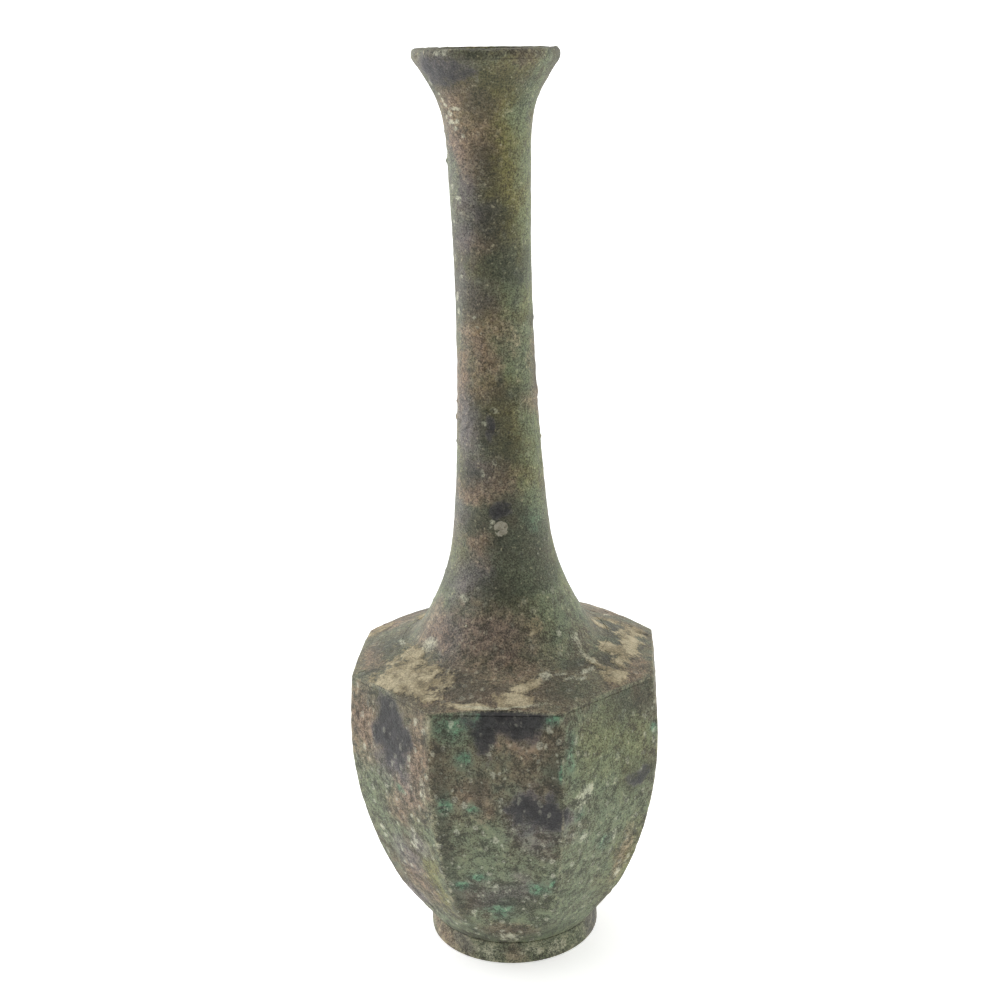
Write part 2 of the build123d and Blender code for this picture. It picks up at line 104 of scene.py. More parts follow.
# Each patch is azimuth, level, half width, half height and strength.
STAINS: dict[Zone, dict[Stain, tuple[Patch, ...]]] = {
    Zone.WALL: {
        Stain.SLATE: (
            (4.5, 87.6, 8.8, 5.2, 1), (-3.5, 84, 2.9, 6.6, 1), (15, 60, 7, 5.6, 1), (8.5, 61, 3.4, 3, 0.6),
            (-43, 77.5, 7.8, 9.2, 1), (-46, 85, 5, 2.5, 0.6), (59, 61, 3.8, 2.6, 0.15),
            (-31, 4, 2.7, 3, 0.2), (75, 4, 5, 4, 0.3),
        ),
        Stain.MAUVE: (
            (-47, 36.5, 6, 5, 0.9), (-60, 17, 5, 5, 0.6), (-33, 45, 4, 4, 0.5), (-42, 68, 9, 7, 0.7),
            (15, 57, 8, 8, 0.6), (0, 31, 9, 5, 0.5),
        ),
        Stain.DUSK: (
            # The patch at azimuth -20 and height 8.5 is painted shade just above the foot, where the belly's
            # underside faces down.
            (20, 66, 2, 16, 0.5), (-19.5, 45, 1.6, 30, 0.2), (3, 12, 12, 3, 0.1), (2, 27, 9, 4, 0.55),
            (57, 85, 8, 4, 0.35), (59, 61, 5, 4, 0.5), (-6, 67, 1.6, 4, 0.5), (-20, 8.5, 9, 2, 0.4),
        ),
        Stain.LICHEN: (
            (46, 52, 15, 34, 0.8), (31, 30, 9, 18, 0.7), (28, 75, 4, 14, 0.8), (-56, 52, 8, 14, 0.4),
            (-13, 86, 7, 5, 0.5), (8, 20, 12, 8, 0.45), (-12, 3.5, 9, 5, 1), (12, 3.5, 9, 5, 1),
            (40, 4, 12, 5, 1), (-8, 48, 12, 12, 0.3), (-30, 12, 10, 4, 0.5), (30, 12, 14, 5, 0.8),
        ),
        Stain.OLIVE: (
            (62, 33, 6, 11, 0.8), (-30, 36, 3, 12, 0.2), (55, 68, 6, 10, 0.5), (40, 75, 8, 8, 0.4),
        ),
        Stain.VERDIGRIS: (
            (-14, 86, 6, 4, 0.5), (-11, 76.5, 2.2, 2.8, 1), (-19, 62.5, 2.6, 3, 0.9),
            (-9, 60.5, 2.5, 2, 0.7), (22.3, 72.5, 0.9, 3, 0.9), (19, 87.5, 3, 2, 0.8),
            (-9, 37, 2.6, 1.6, 1), (-16, 33.5, 3, 1.8, 1), (16, 32, 3.2, 2.2, 0.7), (20, 34.5, 1, 2, 1),
            (65.5, 74.5, 1.5, 2, 1), (44, 43, 3, 2, 0.4), (-39, 61.5, 2, 1.4, 0.6), (-4, 23.5, 4, 4, 0.5),
            (26, 78, 1.6, 6, 0.4), (30, 57, 2, 1.6, 0.5),
        ),
        Stain.RUST: (
            (-60, 77, 6, 10, 1), (-27.5, 72, 3.4, 12, 0.6), (-36, 60, 5, 5, 0.5), (9, 80.5, 7, 3, 0.2),
            (-8, 63, 4, 5, 0.4), (-3, 60, 1.8, 2.4, 0.8), (2, 14, 6, 3, 0.6), (-43, 55, 4, 4, 0.5),
            (60, 34, 2.5, 8, 0.3), (-45, 28, 5, 6, 0.4), (-52, 3, 7, 3, 0.7), (5, 3.5, 2, 3, 0.5),
        ),
        Stain.CRUST: ((61, 36, 1.6, 4, 0.3),),
        Stain.CHALK: (
            (-26, 66, 0.9, 4, 0.2), (-35.5, 48, 1.2, 2.6, 0.6), (-38.5, 43.5, 1.8, 1.5, 0.6),
            (-60, 42.5, 1, 1.2, 0.9), (33, 62.5, 3, 3, 0.3), (32.5, 48, 1.5, 1.5, 0.35),
            (50, 44, 1.2, 2, 0.4), (60.5, 27, 1.2, 3, 0.5), (-14, 3, 4, 2, 0.2), (16, 3.4, 3, 1.6, 0.15),
            (33, 3, 3, 2, 0.15), (2, 10, 3, 1.5, 0.2),
        ),
    },
    Zone.SLOPE: {
        Stain.CRUST: (
            (-46, 37, 13, 6.5, 1), (-57, 29.5, 6, 3.2, 0.9), (7, 39.3, 6, 3, 0.9),
            (14.5, 34.2, 3.4, 2.6, 0.9), (57, 39, 4.6, 4, 1), (85, 36.5, 13, 3, 0.9),
            (76, 31.5, 3.4, 4, 0.9), (-9, 41.8, 9, 1.3, 0.7), (-30, 40, 5, 3, 0.6),
            (56, 32, 1.4, 4.5, 0.6),
        ),
        Stain.CHALK: (
            (25, 32, 2, 2, 0.5), (32.5, 32.3, 1.8, 0.7, 0.8), (36.5, 34.2, 1.8, 0.7, 0.8),
            (40.5, 35.3, 1.8, 0.7, 0.8), (45, 33.5, 1.8, 0.7, 0.8), (50, 33.5, 1.8, 0.7, 0.8),
            (56, 29.5, 1.2, 3.5, 0.7), (-79, 30.5, 3, 1, 0.7), (2, 41.8, 10, 0.6, 0.5),
        ),
        Stain.SLATE: (
            (-42, 34.5, 1.2, 1.5, 0.4),
        ),
        Stain.DUSK: (
            (-15, 36, 7, 4, 0.4), (28, 38, 6, 4, 0.3), (-20, 32, 6, 3, 0.3), (62, 33.8, 5, 2.8, 0.6),
            (87, 34, 4, 2, 0.3), (2, 34.7, 5, 2, 0.3), (-82, 34.5, 6, 4, 0.4), (-33, 31, 2.4, 2.2, 0.5),
            (-65, 39.5, 1.6, 5, 0.5), (46, 30, 4, 2, 0.5),
        ),
        Stain.RUST: (
            (-78, 40, 8, 3, 0.6), (-4, 37, 16, 7, 0.35), (-5, 29, 12, 4, 0.1), (60, 42, 10, 3, 0.4),
        ),
    },
    Zone.NECK: {
        Stain.SLATE: (
            (5, 136.8, 2.6, 1.8, 0.15), (-34, 254.5, 8, 3, 0.1), (-6.5, 160, 1, 3, 0.1),
        ),
        Stain.DUSK: (
            (-30, 253, 14, 5, 0.7), (-5, 249, 4, 6, 0.7), (14, 252, 9, 4, 0.5), (5, 216, 4, 8, 1),
            (12, 203.5, 6, 6, 0.9), (40, 203, 6, 5, 0.5), (-9, 161, 3.6, 7, 1), (8, 155, 5, 9, 0.5),
            (7, 136, 5.5, 4, 1), (5, 127, 4, 5, 0.65), (44, 126, 6, 5, 0.7), (6, 116, 7, 4.5, 0.4),
            (-18, 195, 5, 4, 0.5), (0, 230, 3, 7, 0.5), (24, 125, 5, 8, 0.3), (18, 168, 5, 3, 0.4),
            (10, 173, 1, 2.4, 1), (-11, 156.5, 1.2, 2, 1), (-25, 133, 6, 3, 0.5), (22, 210, 4, 9, 0.6),
            (-35, 146, 5, 3, 0.5), (50, 119, 8, 5, 0.3), (-4, 259.2, 2.4, 1.4, 0.9),
        ),
        Stain.MAUVE: (
            (-33, 225, 4.6, 7, 1), (-37, 213, 5, 6, 0.9), (-40, 256, 9, 3, 0.6), (-45, 161, 4, 8, 0.8),
            (-26, 147, 4, 4, 0.6), (-22, 196, 5, 4, 0.6), (-37, 116, 8, 5, 0.6), (-22, 119, 5, 4, 0.5),
            (-12, 219, 3, 4, 0.7), (-55, 232, 4, 8, 0.5), (-40, 102, 9, 5, 0.4), (-55, 195, 3, 8, 0.4),
            (6, 104, 9, 6, 0.5),
        ),
        Stain.RUST: (
            (-32, 246, 8, 5.5, 0.6), (-12, 237, 4.5, 8, 0.5), (-16, 184, 6.5, 10, 0.7),
            (3, 178.5, 2.6, 4.5, 0.8), (-52, 175, 3.5, 6, 0.8), (-35, 141.3, 8, 2.6, 0.8),
            (-19, 126.5, 3.6, 3.8, 1), (8, 145, 5, 5, 0.6), (-2, 103, 9, 7, 0.1), (-5, 210, 3, 3, 0.5),
            (-58, 101, 7, 5, 0.5), (-35, 236, 5, 5, 0.5), (-12, 170, 5, 3, 0.4),
        ),
        Stain.OLIVE: (
            (14, 248, 9, 10, 0.9), (32, 238, 8, 12, 0.9), (50, 218, 8, 11, 1), (40, 230, 8, 12, 0.8),
            (62, 189, 5, 8, 0.8), (56, 153, 6, 12, 0.6), (20, 172, 4, 3, 0.8), (30, 160, 5, 9, 0.4),
            (12, 232, 5, 8, 0.7), (18, 106, 8, 6, 0.4), (4, 194, 5, 14, 0.35), (8, 170, 6, 8, 0.35),
        ),
        Stain.LICHEN: (
            (60, 247, 6, 8, 1), (68, 232, 5, 8, 0.8), (25, 182, 4.4, 10, 0.9), (50, 175, 8, 6, 1),
            (62, 183, 5, 6, 0.8), (53, 137, 6, 6, 0.8), (30, 118, 7, 6, 0.5), (60, 110, 15, 13, 0.8),
            (45, 200, 8, 6, 0.7), (55, 128, 7, 6, 0.6), (-33, 178, 2, 2, 0.5), (30, 198, 5, 8, 0.6),
            (64, 158, 5, 12, 0.7), (72, 212, 4, 14, 0.6),
        ),
        Stain.VERDIGRIS: ((48, 133, 3, 2.4, 0.05),),
        Stain.CHALK: (
            (-33, 111.5, 1.5, 1.3, 1), (-26, 104.6, 0.5, 0.5, 1), (47.5, 123, 0.5, 0.5, 1),
            (61.5, 126, 0.5, 0.5, 0.8), (59, 98, 2.5, 2, 0.5), (46, 101.5, 1, 1, 0.6),
            (-53, 97.5, 3, 2, 0.5), (-47.5, 241.6, 1.4, 0.5, 1), (-30, 238.4, 0.7, 0.6, 1),
            (-24, 190.7, 0.6, 0.4, 0.8), (-46.5, 222, 1.6, 0.5, 0.8), (-42, 218, 1, 0.4, 0.8),
            (-38, 245, 2, 0.5, 0.5), (-62, 252, 0.6, 0.6, 0.9), (-58, 249, 0.9, 0.5, 0.9),
            (-55, 247.5, 0.6, 0.6, 0.9), (-52, 246, 1, 0.5, 0.9), (-50, 244, 0.7, 0.6, 0.9),
            (-57, 243, 0.7, 0.5, 0.9), (-45, 243.5, 0.8, 0.5, 0.9), (-40, 240, 0.6, 0.6, 0.8),
            (-36, 242, 0.6, 0.5, 0.8), (-60, 225, 0.6, 0.9, 0.8), (-62, 215, 0.6, 1.1, 0.8),
            (-66, 206, 0.7, 1.3, 0.8), (-63, 196, 0.9, 1.3, 0.9), (-60, 192, 0.7, 0.9, 0.9),
            (-50, 201, 0.6, 0.5, 0.8), (-20, 188, 0.6, 0.4, 0.7), (-14, 186, 0.5, 0.5, 0.7),
            (-5, 133.6, 0.8, 0.6, 0.9), (-8, 132.2, 0.6, 0.7, 0.8), (-33, 259.2, 2.6, 0.9, 0.4),
            (-14, 161, 0.9, 0.8, 0.5), (2, 165, 1.2, 0.8, 0.4), (-2, 150, 0.9, 1, 0.4),
            (-20, 147, 0.8, 1.2, 0.4),
        ),
        Stain.CRUST: ((28, 104.5, 3, 2.6, 0.15),),
    },
}


def ease(value: Array, low: float, high: float) -> Array:
    """Smooth step.

    Args:
        value: Numbers to grade.
        low: Number that gives 0.
        high: Number that gives 1.

    Returns:
        3t^2 - 2t^3, where t is the share of the way from low to high.
    """
    share = np.clip((value - low) / (high - low), 0.0, 1.0)
    return share * share * (3.0 - 2.0 * share)


def lattice(cell: Array, seed: int) -> Array:
    """Draws one number for each cell of a cubic lattice.

    Args:
        cell: Whole-number indices, three to a cell.
        seed: Which of the many draws to use.

    Returns:
        Numbers from 0 to 1, got by multiplying and folding the bits of the indices.
    """
    mixed = cell @ np.array([374761393, 668265263, 1440662683]) + seed * 1103515245
    mixed = ((mixed ^ (mixed >> 13)) * 1274126177) & 0x7FFFFFFF
    mixed = ((mixed ^ (mixed >> 15)) * 668265263) & 0x7FFFFFFF
    return ((mixed >> 7) & 0xFFFF) / 65535.0


def lumps(points: Array, size: float, seed: int) -> Array:
    """Noise with lumps of one size.

    Args:
        points: Where to read it, three coordinates to a point.
        size: Spacing of the lattice.
        seed: Which noise to read.

    Returns:
        Numbers from -1 to 1, the lattice draws eased between the eight corners of each cell.
    """
    scaled = points / size
    cell = np.floor(scaled).astype(np.int64)
    share = ease(scaled - cell, 0.0, 1.0)
    total = np.zeros(points.shape[:-1])
    for corner in np.ndindex(2, 2, 2):
        weight = np.prod(np.where(np.array(corner, bool), share, 1.0 - share), axis=-1)
        total += weight * lattice(cell + np.array(corner), seed)
    return 2.0 * total - 1.0


def rough(points: Array, size: float, seed: int, layers: int = 3) -> Array:
    """Noise with lumps of several sizes.

    Args:
        points: Where to read it.
        size: Size of the largest lumps.
        seed: Which noise to read.
        layers: How many sizes, each half the one before and 0.55 as strong.

    Returns:
        Numbers from about -1 to 1.
    """
    spin = np.array([[0.8, 0.6, 0.0], [-0.36, 0.48, 0.8], [0.48, -0.64, 0.6]])
    total, strength = np.zeros(points.shape[:-1]), 1.0
    for layer in range(layers):
        points = points @ spin
        total += strength * lumps(points, size / 2**layer, seed + layer)
        strength *= 0.55
    return total


def spline(knots: Sequence[tuple[float, float]], step: float) -> Array:
    """Natural cubic spline through points (radius, height).

    The knots stand at their chord lengths. With spans h and second derivatives m, each inner knot gives
    h[i-1] m[i-1] + 2 (h[i-1] + h[i]) m[i] + h[i] m[i+1] = 6 (slope[i] - slope[i-1]), and m is 0 at both ends.

    Args:
        knots: Points that the curve passes through.
        step: Spacing of the points read from it.

    Returns:
        Points at even steps along the curve.
    """
    points = np.asarray(knots, float)
    along = np.append(0.0, np.cumsum(np.linalg.norm(np.diff(points, axis=0), axis=1)))
    span, inner = np.diff(along), np.arange(1, len(points) - 1)
    system, right = np.eye(len(points)), np.zeros_like(points)
    system[inner, inner - 1], system[inner, inner + 1] = span[:-1], span[1:]
    system[inner, inner] = 2.0 * (span[:-1] + span[1:])
    right[1:-1] = 6.0 * np.diff(np.diff(points, axis=0) / span[:, None], axis=0)
    bend = np.linalg.solve(system, right)
    place = np.linspace(0.0, along[-1], 60 * len(points))
    knot = np.clip(np.searchsorted(along, place) - 1, 0, len(span) - 1)
    wide = span[knot][:, None]
    after = (place - along[knot])[:, None] / wide
    before = 1.0 - after
    curve = before * points[knot] + after * points[knot + 1]
    curve += ((before**3 - before) * bend[knot] + (after**3 - after) * bend[knot + 1]) * wide**2 / 6.0
    length = np.append(0.0, np.cumsum(np.linalg.norm(np.diff(curve, axis=0), axis=1)))
    even = np.linspace(0.0, length[-1], max(2, round(length[-1] / step)))
    return np.stack([np.interp(even, length, curve[:, 0]), np.interp(even, length, curve[:, 1])], axis=-1)


def columns(count: int, centres: Sequence[float], width: float, crowd: float) -> Array:
    """Azimuths of a grid's columns, crowded near some of them.

    Args:
        count: How many columns.
        centres: Azimuths where the columns crowd, in degrees.
        width: Spread of each crowd in degrees.
        crowd: How many times closer the columns are there, less one.

    Returns:
        Azimuths in degrees at even steps of the running sum of 1 + crowd exp(-(distance / width)^2).
    """
    turn = np.linspace(-180.0, 180.0, 14401)
    apart = np.abs((turn[:, None] - np.asarray(centres)[None, :] + 180.0) % 360.0 - 180.0)
    total = np.append(0.0, np.cumsum(1.0 + crowd * np.exp(-((apart / width) ** 2)).sum(axis=1))[1:])
    return np.interp(np.arange(count) * total[-1] / count, total, turn)


def facets(azimuth: Array) -> Array:
    """Share of the flat's distance over the wall's radius, round a regular octagon with worn corners.

    Args:
        azimuth: Directions in degrees.

    Returns:
        (sum over the flats of max(0, cos(azimuth - flat))^p)^(1/p), where p is the corner power; this rounds
        the corners by about 44/p mm.
    """
    away = np.radians(azimuth[:, None] - 45.0 * np.arange(8)[None, :])
    return (np.maximum(0.0, np.cos(away)) ** CORNER_POWER).sum(axis=1) ** (1.0 / CORNER_POWER)


def turned(*points: tuple[float, float]) -> Array:
    """Points of a round section, shared by every column."""
    return np.asarray(points, float)[:, None, :]


@dataclass(frozen=True)
class Run:
    """Part of a section, walked with the metal on the left.

    Attributes:
        points: Radius and height of its points, shape (points, columns, 2).
        edge: How far a single point is rounded, in mm.
    """

    points: Array
    edge: float = 0.0


def walk(runs: Sequence[Run], step: float, open_end: bool = False) -> Array:
    """Joins runs by straight lines and rounds the single points between them.

    A rounded corner C is the parabola (1-t)^2 A + 2t(1-t) C + t^2 B, where A and B lie `edge` before and
    after C.

    Args:
        runs: Runs in order.
        step: Longest line that isn't divided.
        open_end: True if the last run isn't joined to the first.

    Returns:
        Points of the whole section, shape (rows, columns, 2).
    """
    wide = max(run.points.shape[1] for run in runs)
    whole = [np.broadcast_to(run.points, (run.points.shape[0], wide, 2)) for run in runs]
    eased = []
    for place, run in enumerate(runs):
        ends = open_end and place in (0, len(runs) - 1)
        if run.edge > 0.0 and not ends:
            corner, before, after = whole[place][0], whole[place - 1][-1], whole[(place + 1) % len(runs)][0]
            back, on = before - corner, after - corner
            start = corner + run.edge * back / np.linalg.norm(back, axis=-1, keepdims=True)
            end = corner + run.edge * on / np.linalg.norm(on, axis=-1, keepdims=True)
            t = np.linspace(0.0, 1.0, 4 + int(6.0 * run.edge))[:, None, None]
            eased.append((1.0 - t) ** 2 * start + 2.0 * t * (1.0 - t) * corner + t**2 * end)
        else:
            eased.append(whole[place])
    rows = []
    for place, part in enumerate(eased):
        rows.append(part)
        if open_end and place == len(eased) - 1:
            break
        start, end = part[-1], eased[(place + 1) % len(eased)][0]
        pieces = int(np.ceil(np.linalg.norm(end - start, axis=-1).mean() / step - 1e-6))
        share = (np.arange(1, pieces) / max(pieces, 1))[:, None, None]
        rows.append(start + share * (end - start))
    return np.concatenate(rows)


@dataclass(frozen=True)
class Bumps:
    """One kind of relief.

    Attributes:
        high: Greatest height or depth in mm.
        size: Size of its lumps in mm.
    """

    high: float
    size: float


@dataclass
class Patina:
    """Reads the stains and the relief of the skin at points of the vase.

    Attributes:
        seed: Which random stains are drawn.
        half_size: Range of a random stain's half sizes, before they are scaled for its kind.
        unseen: Range of azimuths that gets random stains.
        unseen_slope: The same range on the shoulder.
        sway_size: Size of the lumps in the noise that shifts the edges of the stains.
        sway_share: How far it shifts them, as a share of a stain's lesser half size.
        sway_least: How far it shifts the edge of even the smallest stain.
        swell: Slowest waves of the skin.
        ripple: Waves on the swell.
        grain: Finest waves.
        sunk: How far the waves are lowered.
        crest: Height at which the waves are cut off.
        warts: Sparse lumps.
        pits: Sparse holes.
        sparse: Noise at which a wart or pit begins, and at which it is full.
    """

    seed: int = 20
    half_size: tuple[float, float] = (1.5, 6.0)
    unseen: tuple[float, float] = (80.0, 285.0)
    unseen_slope: tuple[float, float] = (100.0, 250.0)
    sway_size: float = 4.6
    sway_share: float = 0.42
    sway_least: float = 0.3
    swell: Bumps = Bumps(0.06, 19.0)
    ripple: Bumps = Bumps(0.07, 5.5)
    grain: Bumps = Bumps(0.05, 1.7)
    sunk: float = 0.02
    crest: float = 0.08
    warts: Bumps = Bumps(0.18, 2.3)
    pits: Bumps = Bumps(0.24, 1.9)
    sparse: tuple[float, float] = (0.58, 0.95)

    def __post_init__(self) -> None:
        """Adds stains to the sides and the back at random, from a fixed seed."""
        draw = np.random.default_rng(self.seed)
        reach = {Zone.WALL: (2.0, 88.0), Zone.SLOPE: (28.0, 44.0), Zone.NECK: (104.0, 259.0)}
        spread = {
            Zone.WALL: {
                Stain.SLATE: 7, Stain.VERDIGRIS: 14, Stain.RUST: 12, Stain.CHALK: 16, Stain.OLIVE: 6,
                Stain.MAUVE: 7, Stain.DUSK: 12, Stain.LICHEN: 12, Stain.CRUST: 0,
            },
            Zone.SLOPE: {
                Stain.SLATE: 0, Stain.VERDIGRIS: 4, Stain.RUST: 8, Stain.CHALK: 8, Stain.CRUST: 9,
                Stain.DUSK: 8,
            },
            Zone.NECK: {
                Stain.SLATE: 0, Stain.VERDIGRIS: 0, Stain.RUST: 14, Stain.CHALK: 14, Stain.OLIVE: 10,
                Stain.MAUVE: 10, Stain.DUSK: 16, Stain.LICHEN: 14, Stain.CRUST: 0,
            },
        }
        scale = {
            Stain.CHALK: 0.3, Stain.CRUST: 0.9, Stain.LICHEN: 1.8, Stain.DUSK: 1.3, Stain.OLIVE: 1.5,
            Stain.SLATE: 1.3, Stain.RUST: 1.3, Stain.MAUVE: 1.3,
        }
        most = {Stain.CRUST: 1.0, Stain.SLATE: 0.4, Stain.CHALK: 0.8, Stain.VERDIGRIS: 0.8}
        self.patches: dict[Zone, dict[Stain, Array]] = {}
        for zone, (low, high) in reach.items():
            self.patches[zone] = {}
            for stain, count in spread[zone].items():
                size = scale.get(stain, 1.0) * draw.uniform(*self.half_size, (count, 2))
                lower, upper = self.unseen_slope if zone is Zone.SLOPE else self.unseen
                random = np.column_stack([
                    draw.uniform(lower, upper, count), draw.uniform(low, high, count), size,
                    draw.uniform(0.3, 1.0, count) * most.get(stain, 0.6),
                ])
                placed = np.array(STAINS[zone].get(stain, ()), float).reshape(-1, 5)
                self.patches[zone][stain] = np.concatenate([placed, random])

    def stains(self, points: Array, zones: dict[Zone, Array]) -> dict[Stain, Array]:
        """Grades every stain at every point.

        At d times the patch's half size from its middle a patch of strength s gives s (1 - d) inside and
        1 - d outside, no less than -1. Noise shifts the place where it is read, so that its edge wanders.

        Args:
            points: Grid of points.
            zones: Which points belong to each zone.

        Returns:
            Largest grade of the patches of each stain, from -1 to 1.
        """
        radius = np.hypot(points[..., 0], points[..., 1])
        azimuth = np.degrees(np.arctan2(points[..., 0], -points[..., 1]))
        sway = [rough(points, self.sway_size, seed, layers=4) for seed in (31, 47)]
        grades = {stain: np.full(radius.shape, -1.0) for stain in Stain}
        for zone, inside in zones.items():
            level = radius if zone is Zone.SLOPE else points[..., 2]
            for stain, patches in self.patches[zone].items():
                for middle, height, wide, tall, strength in patches:
                    shift = self.sway_share * min(wide, tall) + self.sway_least
                    across = np.radians((azimuth - middle + 180.0) % 360.0 - 180.0) * radius + shift * sway[0]
                    up = level - height + shift * sway[1]
                    away = np.hypot(across / wide, up / tall)
                    grade = np.where(away < 1.0, strength * (1.0 - away), 1.0 - away)
                    grades[stain] = np.where(inside, np.maximum(grades[stain], grade), grades[stain])
        return grades

    def relief(self, points: Array) -> Array:
        """Height of the cast and corroded skin over the smooth surface.

        Args:
            points: Grid of points.

        Returns:
            Millimetres: the lesser of crest and swell + ripple + grain - sunk, then + warts - pits.
        """
        swell = self.swell.high * lumps(points, self.swell.size, seed=3)
        ripple = self.ripple.high * rough(points, self.ripple.size, seed=7)
        grain = self.grain.high * rough(points, self.grain.size, seed=13, layers=2)
        warts = self.warts.high * ease(lumps(points, self.warts.size, seed=21), *self.sparse)
        pits = self.pits.high * ease(lumps(points, self.pits.size, seed=23), *self.sparse)
        return np.minimum(swell + ripple + grain - self.sunk, self.crest) + warts - pits


@dataclass
class Skin:
    """Grid of points that becomes a mesh.

    Attributes:
        points: Shape (rows, columns, 3); the rows close into a loop, or end in poles.
        grades: Stain grades for every point.
        poles: True if the first and last row each close to a point.
    """

    points: Array
    grades: dict[Stain, Array]
    poles: bool = False

    def mesh(self, name: str) -> bpy.types.Object:
        """Weaves the grid into quads and stores the stains as attributes.

        Args:
            name: Name of the new object.

        Returns:
            The object, at the origin, in metres.
        """
        low, high = np.array(CAD_BOX)
        rows, wide = self.points.shape[:2]
        vertices = np.clip(self.points.reshape(-1, 3) * METRE, low, high)
        index = np.arange(rows * wide).reshape(rows, wide)
        lower, upper = (index[:-1], index[1:]) if self.poles else (index, np.roll(index, -1, axis=0))
        quads = np.stack([lower, np.roll(lower, -1, 1), np.roll(upper, -1, 1), upper], axis=-1).reshape(-1, 4)
        corners, sizes = quads.ravel(), np.full(len(quads), 4)
        if self.poles:
            foot, head = len(vertices), len(vertices) + 1
            tips = vertices[index[0]].mean(0), vertices[index[-1]].mean(0)
            vertices = np.concatenate([vertices, np.stack(tips)])
            under = np.stack([np.roll(index[0], -1), index[0], np.full(wide, foot)], axis=-1)
            over = np.stack([index[-1], np.roll(index[-1], -1), np.full(wide, head)], axis=-1)
            corners = np.concatenate([corners, under.ravel(), over.ravel()])
            sizes = np.concatenate([sizes, np.full(2 * wide, 3)])
        mesh = bpy.data.meshes.new(name)
        mesh.vertices.add(len(vertices))
        mesh.vertices.foreach_set("co", vertices.ravel().astype(np.float32))
        mesh.loops.add(len(corners))
        mesh.loops.foreach_set("vertex_index", corners.astype(np.int32))
        mesh.polygons.add(len(sizes))
        mesh.polygons.foreach_set("loop_start", np.append(0, np.cumsum(sizes)[:-1]).astype(np.int32))
        mesh.polygons.foreach_set("use_smooth", np.ones(len(sizes), bool))
        for stain, grade in self.grades.items():
            flat = grade.ravel()
            if self.poles:
                flat = np.concatenate([flat, [grade[0].mean(), grade[-1].mean()]])
            kept = mesh.attributes.new(stain.value, "FLOAT", "POINT")
            kept.data.foreach_set("value", flat.astype(np.float32))
        mesh.update(calc_edges=True)
        mesh.validate()
        piece = bpy.data.objects.new(name, mesh)
        bpy.context.scene.collection.objects.link(piece)
        return piece


def spun(section: Array, azimuth: Array) -> Array:
    """Turns a section about the axis.

    Args:
        section: Radius and height, shape (rows, 1 or columns, 2).
        azimuth: Direction of each column in degrees.

    Returns:
        Grid of points (r sin a, -r cos a, z).
    """
    turn = np.radians(azimuth)[None, :]
    radius, height = np.broadcast_arrays(section[..., 0], section[..., 1])
    radius, height = radius + 0.0 * turn, height + 0.0 * turn
    return np.stack([radius * np.sin(turn), -radius * np.cos(turn), height], axis=-1)


def outward(section: Array, azimuth: Array) -> Array:
    """Directions square to the open section's own line, out of the metal.

    Args:
        section: Radius and height of the seen rows.
        azimuth: Direction of each column in degrees.

    Returns:
        Unit vectors for the grid that spun() makes of the section.
    """
    along = np.gradient(section, axis=0)
    along = along / np.maximum(np.linalg.norm(along, axis=-1, keepdims=True), 1e-9)
    return spun(np.stack([along[..., 1], -along[..., 0]], axis=-1), azimuth)


def tone(red: int, green: int, blue: int) -> Colour:
    """Colour for a shader from the three screen levels of 0 to 255.

    Args:
        red: Red level.
        green: Green level.
        blue: Blue level.

    Returns:
        Linear red, green, blue and 1.
    """
    level = np.array([red, green, blue]) / 255.0
    linear = np.where(level <= 0.04045, level / 12.92, ((level + 0.055) / 1.055) ** 2.4)
    return (float(linear[0]), float(linear[1]), float(linear[2]), 1.0)


Value = bpy.types.NodeSocket | float | Colour


